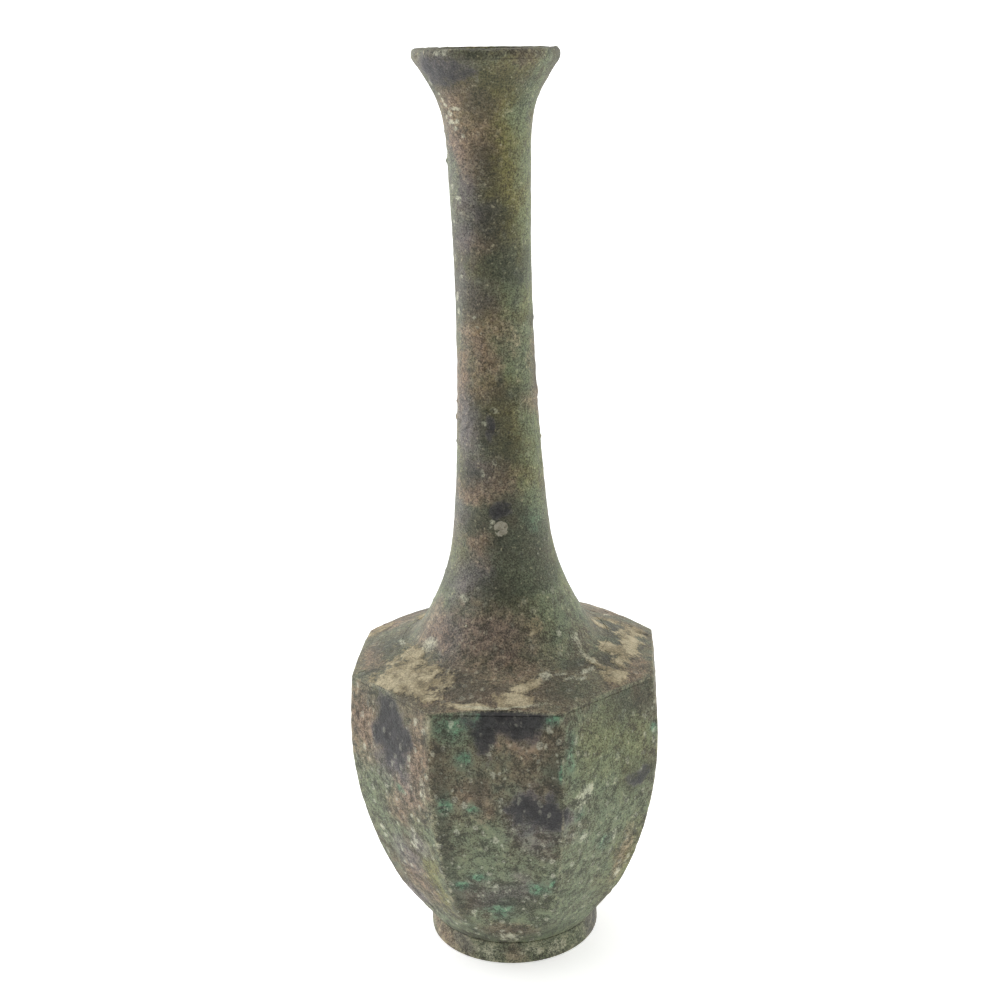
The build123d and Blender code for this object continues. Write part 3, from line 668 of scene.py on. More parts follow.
class Shades:
    """Lays out the nodes of one material; each method returns the socket with its result."""

    def __init__(self, name: str) -> None:
        """Starts an empty material with the object's own coordinates.

        Args:
            name: Name of the material.
        """
        self.material = bpy.data.materials.new(name)
        self.material.use_nodes = True
        self.tree = self.material.node_tree
        self.tree.nodes.clear()
        self.place = self.add("ShaderNodeTexCoord").outputs["Object"]

    def add(
        self, kind: str, inputs: dict[str | int, Value] | None = None, **settings: object,
    ) -> bpy.types.Node:
        """Adds a node.

        Args:
            kind: Type of the node.
            inputs: What each socket is linked to or set to.
            **settings: Properties of the node.

        Returns:
            The node.
        """
        node = self.tree.nodes.new(kind)
        for key, value in settings.items():
            setattr(node, key, value)
        for key, value in (inputs or {}).items():
            if isinstance(value, bpy.types.NodeSocket):
                self.tree.links.new(value, node.inputs[key])
            else:
                node.inputs[key].default_value = value
        return node

    def noise(self, size: float, detail: float = 3.0) -> bpy.types.NodeSocket:
        """Noise from about 0.25 to 0.75 with lumps of a size in mm."""
        inputs = {"Vector": self.place, "Scale": 1.0 / (size * METRE), "Detail": detail, "Roughness": 0.6}
        return self.add("ShaderNodeTexNoise", inputs).outputs["Fac"]

    def stain(self, stain: Stain) -> bpy.types.NodeSocket:
        """Grade of a stain."""
        return self.add("ShaderNodeAttribute", attribute_name=stain.value).outputs["Fac"]

    def sum(self, first: Value, second: Value, times: float = 1.0, less: float = 0.0) -> bpy.types.NodeSocket:
        """Works out first + times (second - less).

        Args:
            first: Number to add to.
            second: Number to scale.
            times: Factor.
            less: Number taken from the second before it is scaled.

        Returns:
            The sum.
        """
        inputs = {0: second, 1: times, 2: -less * times}
        shifted = self.add("ShaderNodeMath", inputs, operation="MULTIPLY_ADD")
        return self.add("ShaderNodeMath", {0: first, 1: shifted.outputs[0]}, operation="ADD").outputs[0]

    def times(self, first: Value, second: Value) -> bpy.types.NodeSocket:
        """Product of two numbers."""
        return self.add("ShaderNodeMath", {0: first, 1: second}, operation="MULTIPLY").outputs[0]

    def step(
        self, value: Value, low: float, high: float, start: float = 0.0, end: float = 1.0,
    ) -> bpy.types.NodeSocket:
        """Smooth step.

        Args:
            value: Number to grade.
            low: Number that gives the start.
            high: Number that gives the end.
            start: Result at and below low.
            end: Result at and above high.

        Returns:
            The graded number.
        """
        inputs = {"Value": value, "From Min": low, "From Max": high, "To Min": start, "To Max": end}
        return self.add("ShaderNodeMapRange", inputs, interpolation_type="SMOOTHSTEP").outputs["Result"]

    def mix(self, share: Value, first: Value, second: Value, blend: str = "MIX") -> bpy.types.NodeSocket:
        """Mixes two colours.

        Args:
            share: How much of the second.
            first: Colour underneath.
            second: Colour on top.
            blend: How the second is laid on.

        Returns:
            The mixed colour.
        """
        inputs = {0: share, 6: first, 7: second}
        return self.add("ShaderNodeMix", inputs, data_type="RGBA", blend_type=blend).outputs[2]

    def specks(self, size: float, share: float, reach: float, stray: float) -> bpy.types.NodeSocket:
        """Soft specks scattered at random.

        Args:
            size: Spacing in mm.
            share: Share of the places that get one.
            reach: Radius of the largest as a share of the spacing.
            stray: How far noise shifts their edges, in mm.

        Returns:
            1 in the middle of a speck, fading to 0 at its edge.
        """
        inputs = {"Vector": self.place, "Scale": 1.0 / (0.7 * size * METRE), "Detail": 4.0}
        shift = self.add("ShaderNodeTexNoise", inputs)
        inputs = {0: shift.outputs["Color"], 1: (stray * METRE,) * 3, 2: self.place}
        place = self.add("ShaderNodeVectorMath", inputs, operation="MULTIPLY_ADD").outputs[0]
        inputs = {0: place, 1: (1.0, 1.0, 0.72)}
        place = self.add("ShaderNodeVectorMath", inputs, operation="MULTIPLY").outputs[0]
        cells = self.add("ShaderNodeTexVoronoi", {"Vector": place, "Scale": 1.0 / (size * METRE)})
        draw = self.add("ShaderNodeSeparateColor", {"Color": cells.outputs["Color"]}).outputs[0]
        away = self.sum(cells.outputs["Distance"], self.step(draw, 1.0 - share, 1.0, 0.0, reach), -1.0)
        return self.step(away, -0.5 * reach, 0.0, 1.0, 0.0)

    def close(
        self, colour: Value, roughness: Value, metal: Value, height: Value, depth: float,
    ) -> bpy.types.Material:
        """Ends the material with a glossy-over-matt surface and a fine relief.

        Args:
            colour: Base colour.
            roughness: Roughness.
            metal: How metallic it is.
            height: Relief, in units of its depth.
            depth: Depth of the relief in mm.

        Returns:
            The finished material.
        """
        bump = self.add("ShaderNodeBump", {"Height": height, "Strength": 1.0, "Distance": depth * METRE})
        inputs = {
            "Base Color": colour, "Roughness": roughness, "Metallic": metal, "Specular IOR Level": 0.4,
            "Normal": bump.outputs["Normal"],
        }
        surface = self.add("ShaderNodeBsdfPrincipled", inputs)
        self.add("ShaderNodeOutputMaterial", {"Surface": surface.outputs["BSDF"]})
        return self.material


@dataclass(frozen=True)
class StainedBronze:
    """Brown and grey-green bronze skin with slate, verdigris, rust, earth crust and chalk on it."""

    umber: Colour = tone(108, 100, 80)
    drab: Colour = tone(108, 108, 86)
    moss: Colour = tone(100, 108, 88)
    earth: Colour = tone(88, 78, 60)
    olive: Colour = tone(119, 114, 61)
    mauve: Colour = tone(112, 105, 106)
    rust: Colour = tone(116, 94, 74)
    rose: Colour = tone(142, 120, 102)
    lichen: Colour = tone(107, 120, 93)
    teal: Colour = tone(84, 103, 86)
    malachite: Colour = tone(95, 138, 107)
    dusk: Colour = tone(56, 58, 47)
    slate: Colour = tone(39, 38, 41)
    lilac: Colour = tone(88, 84, 88)
    fleck: Colour = tone(168, 168, 149)
    grit: Colour = tone(176, 168, 140)
    ochre: Colour = tone(146, 134, 106)
    sand: Colour = tone(186, 174, 144)
    chalk: Colour = tone(184, 184, 162)
    # Pale rubbed metal; on the foot's top edge also a painted highlight.
    wear_and_highlight: Colour = tone(148, 143, 120)
    # Dark grime, also used as painted shade in the crease under the lip band.
    grime_and_shade: Colour = tone(44, 42, 36)

    def material(self) -> bpy.types.Material:
        """Lays the stains over the ground one after another.

        Returns:
            The material.
        """
        s = Shades("stained bronze")
        broad, lump, blot, clot = s.noise(24.0, 2.0), s.noise(6.3, 4.0), s.noise(2.4, 4.0), s.noise(1.3, 3.0)
        fine, grain = s.noise(0.75, 3.0), s.noise(0.4, 3.0)
        ragged = s.sum(s.sum(s.sum(0.0, lump, 1.2, 0.5), blot, 1.6, 0.5), fine, 1.1, 0.5)
        red = s.mix(s.step(clot, 0.36, 0.58), self.rust, self.rose)
        colour = s.mix(s.step(broad, 0.4, 0.6), self.umber, self.drab)
        colour = s.mix(s.step(lump, 0.44, 0.66, 0.0, 0.7), colour, self.moss)
        colour = s.mix(s.step(blot, 0.46, 0.66, 0.0, 0.5), colour, self.earth)
        washes = (
            (Stain.OLIVE, self.olive, 0.75), (Stain.MAUVE, self.mauve, 0.75),
            (Stain.LICHEN, self.lichen, 0.7), (Stain.RUST, red, 0.7), (Stain.DUSK, self.dusk, 0.72),
        )
        for stain, top, share in washes:
            grade = s.sum(s.stain(stain), ragged, 0.8)
            colour = s.mix(s.step(grade, -0.8, 0.7, 0.0, share), colour, top)
        green = s.sum(s.stain(Stain.VERDIGRIS), ragged, 0.8)
        colour = s.mix(s.step(green, -0.7, 0.6, 0.0, 0.65), colour, self.teal)
        dark = s.sum(s.stain(Stain.SLATE), ragged, 0.7)
        dark_share = s.step(dark, -0.4, 0.25, 0.0, 0.94)
        colour = s.mix(dark_share, colour, s.mix(s.step(dark, -0.35, 0.25), self.lilac, self.slate))
        bloom = s.times(s.step(green, 0.02, 0.7, 0.0, 0.75), s.step(clot, 0.34, 0.58))
        colour = s.mix(bloom, colour, self.malachite)
        dense = s.times(s.step(s.stain(Stain.SPECK), -1.0, 1.0), s.step(dark_share, 0.2, 0.9, 1.0, 0.45))
        large = s.times(s.specks(2.6, 1.0, 0.44, 1.7), s.step(lump, 0.38, 0.54, 0.55, 1.0))
        small = s.times(s.specks(1.6, 0.9, 0.42, 1.0), s.step(blot, 0.38, 0.58, 0.3, 0.9))
        pale = s.times(s.step(s.sum(large, small, 0.8), 0.0, 0.9, 0.0, 0.56), dense)
        colour = s.mix(pale, colour, self.fleck)
        crust = s.sum(s.stain(Stain.CRUST), ragged, 0.8)
        crust_share = s.step(crust, -0.25, 0.2, 0.0, 0.88)
        soil = s.mix(s.step(s.sum(lump, crust, 0.25), 0.4, 0.75), self.ochre, self.sand)
        colour = s.mix(crust_share, colour, soil)
        chalk = s.sum(s.stain(Stain.CHALK), ragged, 0.8)
        colour = s.mix(s.step(chalk, -0.35, 0.45, 0.0, 0.6), colour, self.chalk)
        sandy = s.step(s.sum(fine, clot, 0.5, 0.5), 0.58, 0.72, 0.0, 0.42)
        sandy = s.times(sandy, s.step(blot, 0.42, 0.62, 0.2, 1.0))
        sandy = s.times(sandy, s.step(dark_share, 0.1, 0.8, 1.0, 0.15))
        sandy = s.times(sandy, s.step(s.stain(Stain.SPECK), -0.3, 1.0, 1.0, 0.45))
        colour = s.mix(sandy, colour, self.grit)
        # Pale rubbed metal on edges, which on the foot's top edge is also a painted highlight.
        wear_and_highlight = s.step(s.sum(s.stain(Stain.WEAR_AND_HIGHLIGHT), ragged, 1.0), 0.0, 1.0, 0.0, 0.6)
        colour = s.mix(wear_and_highlight, colour, self.wear_and_highlight)
        # Dark grime, and painted shade in the crease under the lip band.
        grime_and_shade = s.step(s.sum(s.stain(Stain.GRIME_AND_SHADE), ragged, 0.6), -0.4, 0.8, 0.0, 0.75)
        colour = s.mix(grime_and_shade, colour, self.grime_and_shade)
        mottle = s.sum(s.sum(0.0, blot, 0.7, 0.5), lump, 0.5, 0.5)
        mottle = s.times(mottle, s.step(s.stain(Stain.SPECK), -0.6, 0.6))
        shade = s.sum(s.sum(grain, fine, 0.6, 0.5), blot, 0.35, 0.5)
        shade = s.step(s.sum(shade, mottle, 0.9), 0.28, 0.72, 0.32, 1.6)
        shade = s.sum(shade, s.times(crust_share, s.sum(1.0, shade, -1.0)), 0.55)
        grey = s.add("ShaderNodeCombineColor", {0: shade, 1: shade, 2: shade}).outputs[0]
        colour = s.mix(1.0, colour, grey, "MULTIPLY")
        skin = s.sum(s.sum(s.step(fine, 0.3, 0.7, 0.5, 0.75), dark_share, -0.12), crust_share, 0.2)
        height = s.sum(s.sum(s.sum(s.sum(fine, grain, 0.6), clot, 1.0), pale, 0.4), crust_share, 0.8)
        return s.close(colour, skin, s.times(wear_and_highlight, 0.3), height, depth=0.2)


@dataclass(frozen=True)
class PlugMetal:
    """Paler, smoother metal of the plug in the neck."""

    pale: Colour = tone(166, 161, 143)
    dull: Colour = tone(132, 127, 110)
    grime_and_shade: Colour = tone(56, 50, 42)

    def material(self) -> bpy.types.Material:
        """Mottles the pale metal and darkens its edge.

        Returns:
            The material.
        """
        s = Shades("plug metal")
        blot, fine = s.noise(1.2), s.noise(0.4)
        colour = s.mix(s.step(s.sum(blot, fine, 0.7, 0.5), 0.4, 0.66), self.pale, self.dull)
        ragged = s.sum(fine, blot, 1.0, 0.5)
        grime_and_shade = s.step(s.sum(s.stain(Stain.GRIME_AND_SHADE), ragged, 1.2, 0.5), -0.1, 0.7, 0.0, 0.8)
        colour = s.mix(grime_and_shade, colour, self.grime_and_shade)
        return s.close(colour, s.step(fine, 0.3, 0.7, 0.4, 0.6), 0.15, fine, depth=0.05)


@dataclass(frozen=True)
class DullSolder:
    """Grey soft solder, slightly lumpy."""

    light: Colour = tone(150, 150, 146)
    dark: Colour = tone(106, 106, 104)

    def material(self) -> bpy.types.Material:
        """Mottles two greys.

        Returns:
            The material.
        """
        s = Shades("dull solder")
        blot, fine = s.noise(2.2), s.noise(0.6)
        colour = s.mix(s.step(blot, 0.4, 0.62), self.light, self.dark)
        return s.close(colour, s.step(fine, 0.3, 0.7, 0.4, 0.6), 0.8, blot, depth=0.1)


@dataclass(frozen=True)
class Finishes:
    """The three finishes of the vase as materials."""

    bronze: bpy.types.Material
    plug: bpy.types.Material
    solder: bpy.types.Material


def settle(piece: bpy.types.Object, material: bpy.types.Material, node: str) -> bpy.types.Object:
    """Gives a piece its finish and its place in the frame.

    Args:
        piece: The piece.
        material: Its finish.
        node: Piece of the frame that it stands for.

    Returns:
        The same piece.
    """
    piece.data.materials.append(material)
    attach(piece, "root")
    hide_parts(node)
    return piece


CORNERS = tuple(22.5 + 45.0 * side for side in range(8))


def lean(points: Array) -> None:
    """Tips the mouth a little to the right.

    With reach r, z falls by LEAN (x + r) / 2r, eased in over the heights of the lean's span.

    Args:
        points: Grid of points, changed in place.
    """
    share = np.clip((points[..., 0] + LEAN_REACH) / (2.0 * LEAN_REACH), 0.0, 1.0)
    points[..., 2] -= LEAN * share * ease(points[..., 2], *LEAN_SPAN)


@dataclass
class LipBand:
    """Thick band round the mouth."""

    radius: float = 19.7
    mouth: float = 17.0
    seat: float = 18.65
    flare: float = 19.0
    low: float = 256.9
    crease: float = 258.0
    step: float = 258.5
    high: float = 260.5
    lead: tuple[float, float] = (0.025, 0.03)
    crease_edge: float = 0.55
    outer_edge: float = 1.6
    mouth_edge: float = 0.8
    seat_edge: float = 0.04
    rows: float = 0.25
    hidden_rows: float = 0.6
    fade: float = 0.9
    worn_reach: float = 1.2
    crease_shade_drop: float = 0.1
    grime_and_shade_half: float = 0.4
    front: float = 3.0
    shade_front_reach: tuple[float, float] = (30.0, 75.0)

    def build(self, patina: Patina, finishes: Finishes) -> bpy.types.Object:
        """Spins the section: under edge, outer face, top and mouth, then the hidden seat.

        Args:
            patina: Stains and relief.
            finishes: Materials.

        Returns:
            The band.
        """
        azimuth = columns(300, (0.0,), width=60.0, crowd=0.6)
        seen = walk([
            Run(turned((self.seat, self.low))),
            Run(turned((self.flare, self.low), (self.flare + self.lead[0], self.low + self.lead[1]))),
            Run(turned((self.radius, self.crease)), self.crease_edge),
            Run(turned((self.radius, self.high)), self.outer_edge),
            Run(turned((self.mouth, self.high)), self.mouth_edge), Run(turned((self.mouth, self.step))),
        ], self.rows, open_end=True)
        hidden = walk([
            Run(turned((self.mouth, self.step))), Run(turned((self.seat, self.step)), self.seat_edge),
            Run(turned((self.seat, self.low))),
        ], self.hidden_rows, open_end=True)
        points = spun(np.concatenate([seen, hidden[1:-1]]), azimuth)
        rise = points[..., 2].copy()
        edge = np.hypot(np.hypot(points[..., 0], points[..., 1]) - self.radius, rise - self.high)
        height = patina.relief(points[:len(seen)]) * ease(rise[:len(seen)], self.low, self.low + self.fade)
        points[:len(seen)] += outward(seen, azimuth) * height[..., None]
        grades = patina.stains(points, {Zone.NECK: np.ones(points.shape[:2], bool)})
        grades[Stain.WEAR_AND_HIGHLIGHT] = 0.5 - edge / self.worn_reach
        # Painted shade: a dark band along the crease under the band's outer face, strongest at the front and
        # fading out round the sides.
        under = np.abs(rise - self.crease + self.crease_shade_drop) / self.grime_and_shade_half
        aside = ease(np.abs(azimuth - self.front), *self.shade_front_reach)[None, :]
        grades[Stain.GRIME_AND_SHADE] = np.maximum(0.5 - under - 1.2 * aside, -1.0)
        grades[Stain.SPECK][:] = -0.3
        lean(points)
        return settle(Skin(points, grades).mesh("lip_band"), finishes.bronze, "mouth_rim")


@dataclass
class PlugPlace:
    """Where the plug sits in the neck's wall."""

    azimuth: float = 3.8
    height: float = 131.5
    radius: float = 2.4
    pit: float = 0.22
    pit_rim: float = 0.75
    pit_foot: float = 0.1
    grime_out: float = 0.1
    grime_and_shade_half: float = 0.4


@dataclass
class NeckTube:
    """Trumpet tube from the shoulder up to the lip, with a spigot at its root and a tenon at its top."""

    plug: PlugPlace
    root: float = 30.05
    flange: float = 93.1
    spigot: float = 22.4
    spigot_end: float = 89.0
    bore: float = 20.2
    tenon: float = 18.4
    tenon_end: float = 258.5
    nub_azimuth: float = -77.0
    nub_height: float = 231.5
    nub_proud: float = 0.55
    nub_reach: tuple[float, float] = (1.1, 0.2)
    eaten_low: tuple[float, float] = (140.0, 158.0)
    eaten_high: tuple[float, float] = (192.0, 176.0)
    slope_top: float = 102.0
    speck_top: float = 115.0
    tenon_edge: float = 0.04
    spigot_edge: float = 0.3
    flange_edge: float = 0.1
    rows: float = 0.42
    hidden_rows: float = 1.6
    fade: float = 0.9
    outer: tuple[tuple[float, float], ...] = (
        (30.05, 94.29), (28.43, 94.94), (27.04, 95.89), (25.84, 97.08), (23.88, 99.84), (22.18, 102.77),
        (19.91, 107.31), (15.681, 118.521), (13.214, 134.632), (11.385, 164.8), (10.65, 202.429),
        (11.218, 230.754), (13.656, 247.912), (19.0, 256.9),
    )
    inner: tuple[tuple[float, float], ...] = (
        (17.0, 258.5), (12.75, 251.7), (10.16, 244.12), (9.0, 236.18), (8.52, 220.12), (8.24, 204.06),
        (8.51, 179.96), (9.38, 155.88), (10.38, 139.85), (12.05, 123.88), (16.75, 108.55), (20.2, 101.3),
    )

    def build(self, patina: Patina, finishes: Finishes) -> bpy.types.Object:
        """Spins the outer curve, the tenon, the bore and the spigot, and sinks a shallow pit round the plug.

        Args:
            patina: Stains and relief.
            finishes: Materials.

        Returns:
            The neck.
        """
        azimuth, top = columns(168, (self.plug.azimuth,), width=13.0, crowd=1.6), self.outer[-1][1]
        seen = spline(self.outer, self.rows)[:, None, :]
        # One more row just before the last keeps the joint under the lip crisp.
        seen = np.concatenate([seen[:-1], 0.08 * seen[-2:-1] + 0.92 * seen[-1:], seen[-1:]])
        hidden = walk([
            Run(seen[-1:]), Run(turned((self.tenon, top)), self.tenon_edge),
            Run(turned((self.tenon, self.tenon_end)), self.tenon_edge),
            Run(spline(self.inner, self.hidden_rows)[:, None, :]),
            Run(turned((self.bore, self.spigot_end)), self.spigot_edge),
            Run(turned((self.spigot, self.spigot_end)), self.spigot_edge),
            Run(turned((self.spigot, self.flange)), self.flange_edge),
            Run(turned((self.root, self.flange)), self.flange_edge), Run(seen[:1]),
        ], self.hidden_rows, open_end=True)
        points = spun(np.concatenate([seen, hidden[1:-1]]), azimuth)
        smooth = points[:len(seen)].copy()
        across = np.radians(azimuth - self.plug.azimuth)[None, :] * seen[..., 0]
        away = np.hypot(across, seen[..., 1] - self.plug.height)
        rim, foot = self.plug.radius + self.plug.pit_rim, self.plug.radius - self.plug.pit_foot
        sink = -self.plug.pit * ease(away, rim, foot)
        eaten = 1.0 + ease(seen[..., 1], *self.eaten_low) * ease(seen[..., 1], *self.eaten_high)
        eaten *= ease(seen[..., 1], top, top - self.fade)
        aside = np.radians(azimuth - self.nub_azimuth)[None, :] * seen[..., 0]
        nub = self.nub_proud * ease(np.hypot(aside, seen[..., 1] - self.nub_height), *self.nub_reach)
        height = patina.relief(smooth) * eaten + sink + nub
        points[:len(seen)] += outward(seen, azimuth) * height[..., None]
        shape = points.shape[:2]
        low = np.broadcast_to(points[..., 2] < self.slope_top, shape)
        grades = patina.stains(points, {Zone.NECK: np.ones(shape, bool), Zone.SLOPE: low})
        ring = np.abs(away - self.plug.radius - self.plug.grime_out) / self.plug.grime_and_shade_half
        grades[Stain.GRIME_AND_SHADE][:len(seen)] = np.maximum(-1.0, 0.4 - ring)
        grades[Stain.GRIME_AND_SHADE][len(seen):] = HIDDEN_GRIME
        grades[Stain.SPECK] = np.where(points[..., 2] < self.speck_top, -0.1, -0.45)
        lean(points)
        return settle(Skin(points, grades).mesh("neck_tube"), finishes.bronze, "neck")


@dataclass
class WallPlug:
    """Small round plug let into the neck's wall."""

    place: PlugPlace
    neck: NeckTube
    depth: float = 1.4
    proud: float = 0.12
    sunk: float = 0.16
    dents: tuple[tuple[float, float, float], ...] = ((0.035, 5.0, 0.6), (0.03, 3.0, 0.0), (0.02, 11.0, 0.0))
    back_rows: int = 6
    edge_rows: int = 5
    face_rows: int = 12
    face_rough: float = 0.006
    face_lump: float = 1.1

    def build(self, patina: Patina, finishes: Finishes) -> bpy.types.Object:
        """Bends a domed disc round the neck.

        With q from 0 at the back's middle to 1 at the front's, rows run out over the back, up the edge and in
        over the front, and the point at (x, y) lies at azimuth a + x / r(z) and height z + y. Each dent takes
        deep (1 + cos(count turn + start)) off the outline.

        Args:
            patina: Stains and relief.
            finishes: Materials.

        Returns:
            The plug.
        """
        turn = np.linspace(0.0, 2.0 * np.pi, 72, endpoint=False)[None, :]
        back, front = np.linspace(0.15, 1.0, self.back_rows), 1.0 - np.linspace(0.04, 0.9, self.face_rows)
        reach = np.concatenate([back, np.full(self.edge_rows, 1.0), front])
        dome = 0.93 + 0.07 * np.linspace(0.0, 1.0, self.face_rows) ** 0.5
        rise = np.concatenate([np.zeros(self.back_rows), np.linspace(0.2, 0.9, self.edge_rows), dome])
        reach, rise = reach[:, None], rise[:, None]
        uneven = np.ones_like(turn)
        for deep, count, start in self.dents:
            uneven -= deep * (1.0 + np.cos(count * turn + start))
        across = self.place.radius * reach * uneven * np.cos(turn)
        up = self.place.radius * reach * uneven * np.sin(turn)
        curve = spline(self.neck.outer, 0.5)
        height = self.place.height + up
        wall = np.interp(height, curve[:, 1], curve[:, 0])
        radius = wall - self.sunk - self.depth * (1.0 - rise) + self.proud * (rise - 1.0)
        angle = np.radians(self.place.azimuth) + across / wall
        points = np.stack([radius * np.sin(angle), -radius * np.cos(angle), height], axis=-1)
        face = self.back_rows + self.edge_rows
        uneven_face = 1.0 + self.face_rough * rough(points[face:], self.face_lump, seed=61)
        points[face:, :, :2] *= uneven_face[..., None]
        grades = {Stain.GRIME_AND_SHADE: np.broadcast_to(np.where(rise < 0.9, 0.8, (reach - 0.95) * 5.0), radius.shape)}
        piece = Skin(points, grades, True).mesh("wall_plug")
        return settle(piece, finishes.plug, "casting_plug")


@dataclass
class ShoulderPlate:
    """Turned slope cut off by eight flats, with a tongue that hangs inside the body."""

    flat: float = 43.05
    base: float = 88.7
    root: float = 30.05
    root_height: float = 94.3
    fall: float = 0.3314
    thick: float = 2.6
    rebate: float = 93.1
    hole: float = 22.5
    tongue_out: float = 39.75
    tongue_in: float = 37.55
    tongue_top: float = 85.4
    tongue_end: float = 81.4
    edge: float = 0.3
    rebate_edge: float = 0.04
    inner_edge: float = 0.2
    tongue_edge: float = 0.05
    rows: float = 0.36
    hidden_rows: float = 1.5
    side_near: float = 0.2
    crust: Bumps = Bumps(0.14, 2.0)
    worn_reach: float = 0.9

    def build(self, patina: Patina, finishes: Finishes) -> bpy.types.Object:
        """Lofts the section round the octagon; the slope falls as z = root height - fall (r - root).

        Args:
            patina: Stains and relief.
            finishes: Materials.

        Returns:
            The shoulder.
        """
        azimuth = columns(400, CORNERS, width=3.0, crowd=2.5)
        share = 1.0 / facets(azimuth)

        def ring(flat: float, height: Array | float) -> Array:
            """One corner of the section, at a flat's distance and a height."""
            return np.stack([flat * share, height + 0.0 * share], axis=-1)[None]

        slope = self.root_height - self.fall * (self.flat * share - self.root)
        ceiling = self.root_height - self.thick
        under = ceiling - self.fall * (self.tongue_in * share - self.root)
        seen = walk([
            Run(ring(self.flat, self.base)), Run(ring(self.flat, slope), self.edge),
            Run(turned((self.root, self.root_height))),
        ], self.rows, open_end=True)
        inner = self.inner_edge
        hidden = walk([
            Run(seen[-1:]), Run(turned((self.root, self.rebate)), self.rebate_edge),
            Run(turned((self.hole, self.rebate)), inner), Run(turned((self.hole, ceiling)), inner),
            Run(turned((self.root, ceiling)), inner), Run(ring(self.tongue_in, under), inner),
            Run(ring(self.tongue_in, self.tongue_end), inner),
            Run(ring(self.tongue_out, self.tongue_end), inner),
            Run(ring(self.tongue_out, self.tongue_top), self.tongue_edge), Run(seen[:1]),
        ], self.hidden_rows, open_end=True)
        points = spun(np.concatenate([seen, hidden[1:-1]]), azimuth)
        smooth = points[:len(seen)].copy()
        radius = np.hypot(points[..., 0], points[..., 1])
        arris = np.abs(points[..., 2] - slope) + np.abs(radius - self.flat * share)
        side = arris - np.maximum(0.0, slope - points[..., 2]) < self.side_near
        zones = {Zone.SLOPE: ~side, Zone.WALL: side}
        grades = patina.stains(points, zones)
        cover = grades[Stain.CRUST][:len(seen)] + 0.5 * rough(smooth, self.crust.size, seed=71, layers=2)
        lift = self.crust.high * ease(cover, -0.05, 0.3)
        points[:len(seen)] += outward(seen, azimuth) * (patina.relief(smooth) + lift)[..., None]
        grades[Stain.WEAR_AND_HIGHLIGHT] = np.maximum(-1.0, 0.75 - arris / self.worn_reach)
        grades[Stain.GRIME_AND_SHADE][len(seen):] = HIDDEN_GRIME
        grades[Stain.SPECK][:] = -0.1
        piece = Skin(points, grades).mesh("shoulder_plate")
        return settle(piece, finishes.bronze, "shoulder")


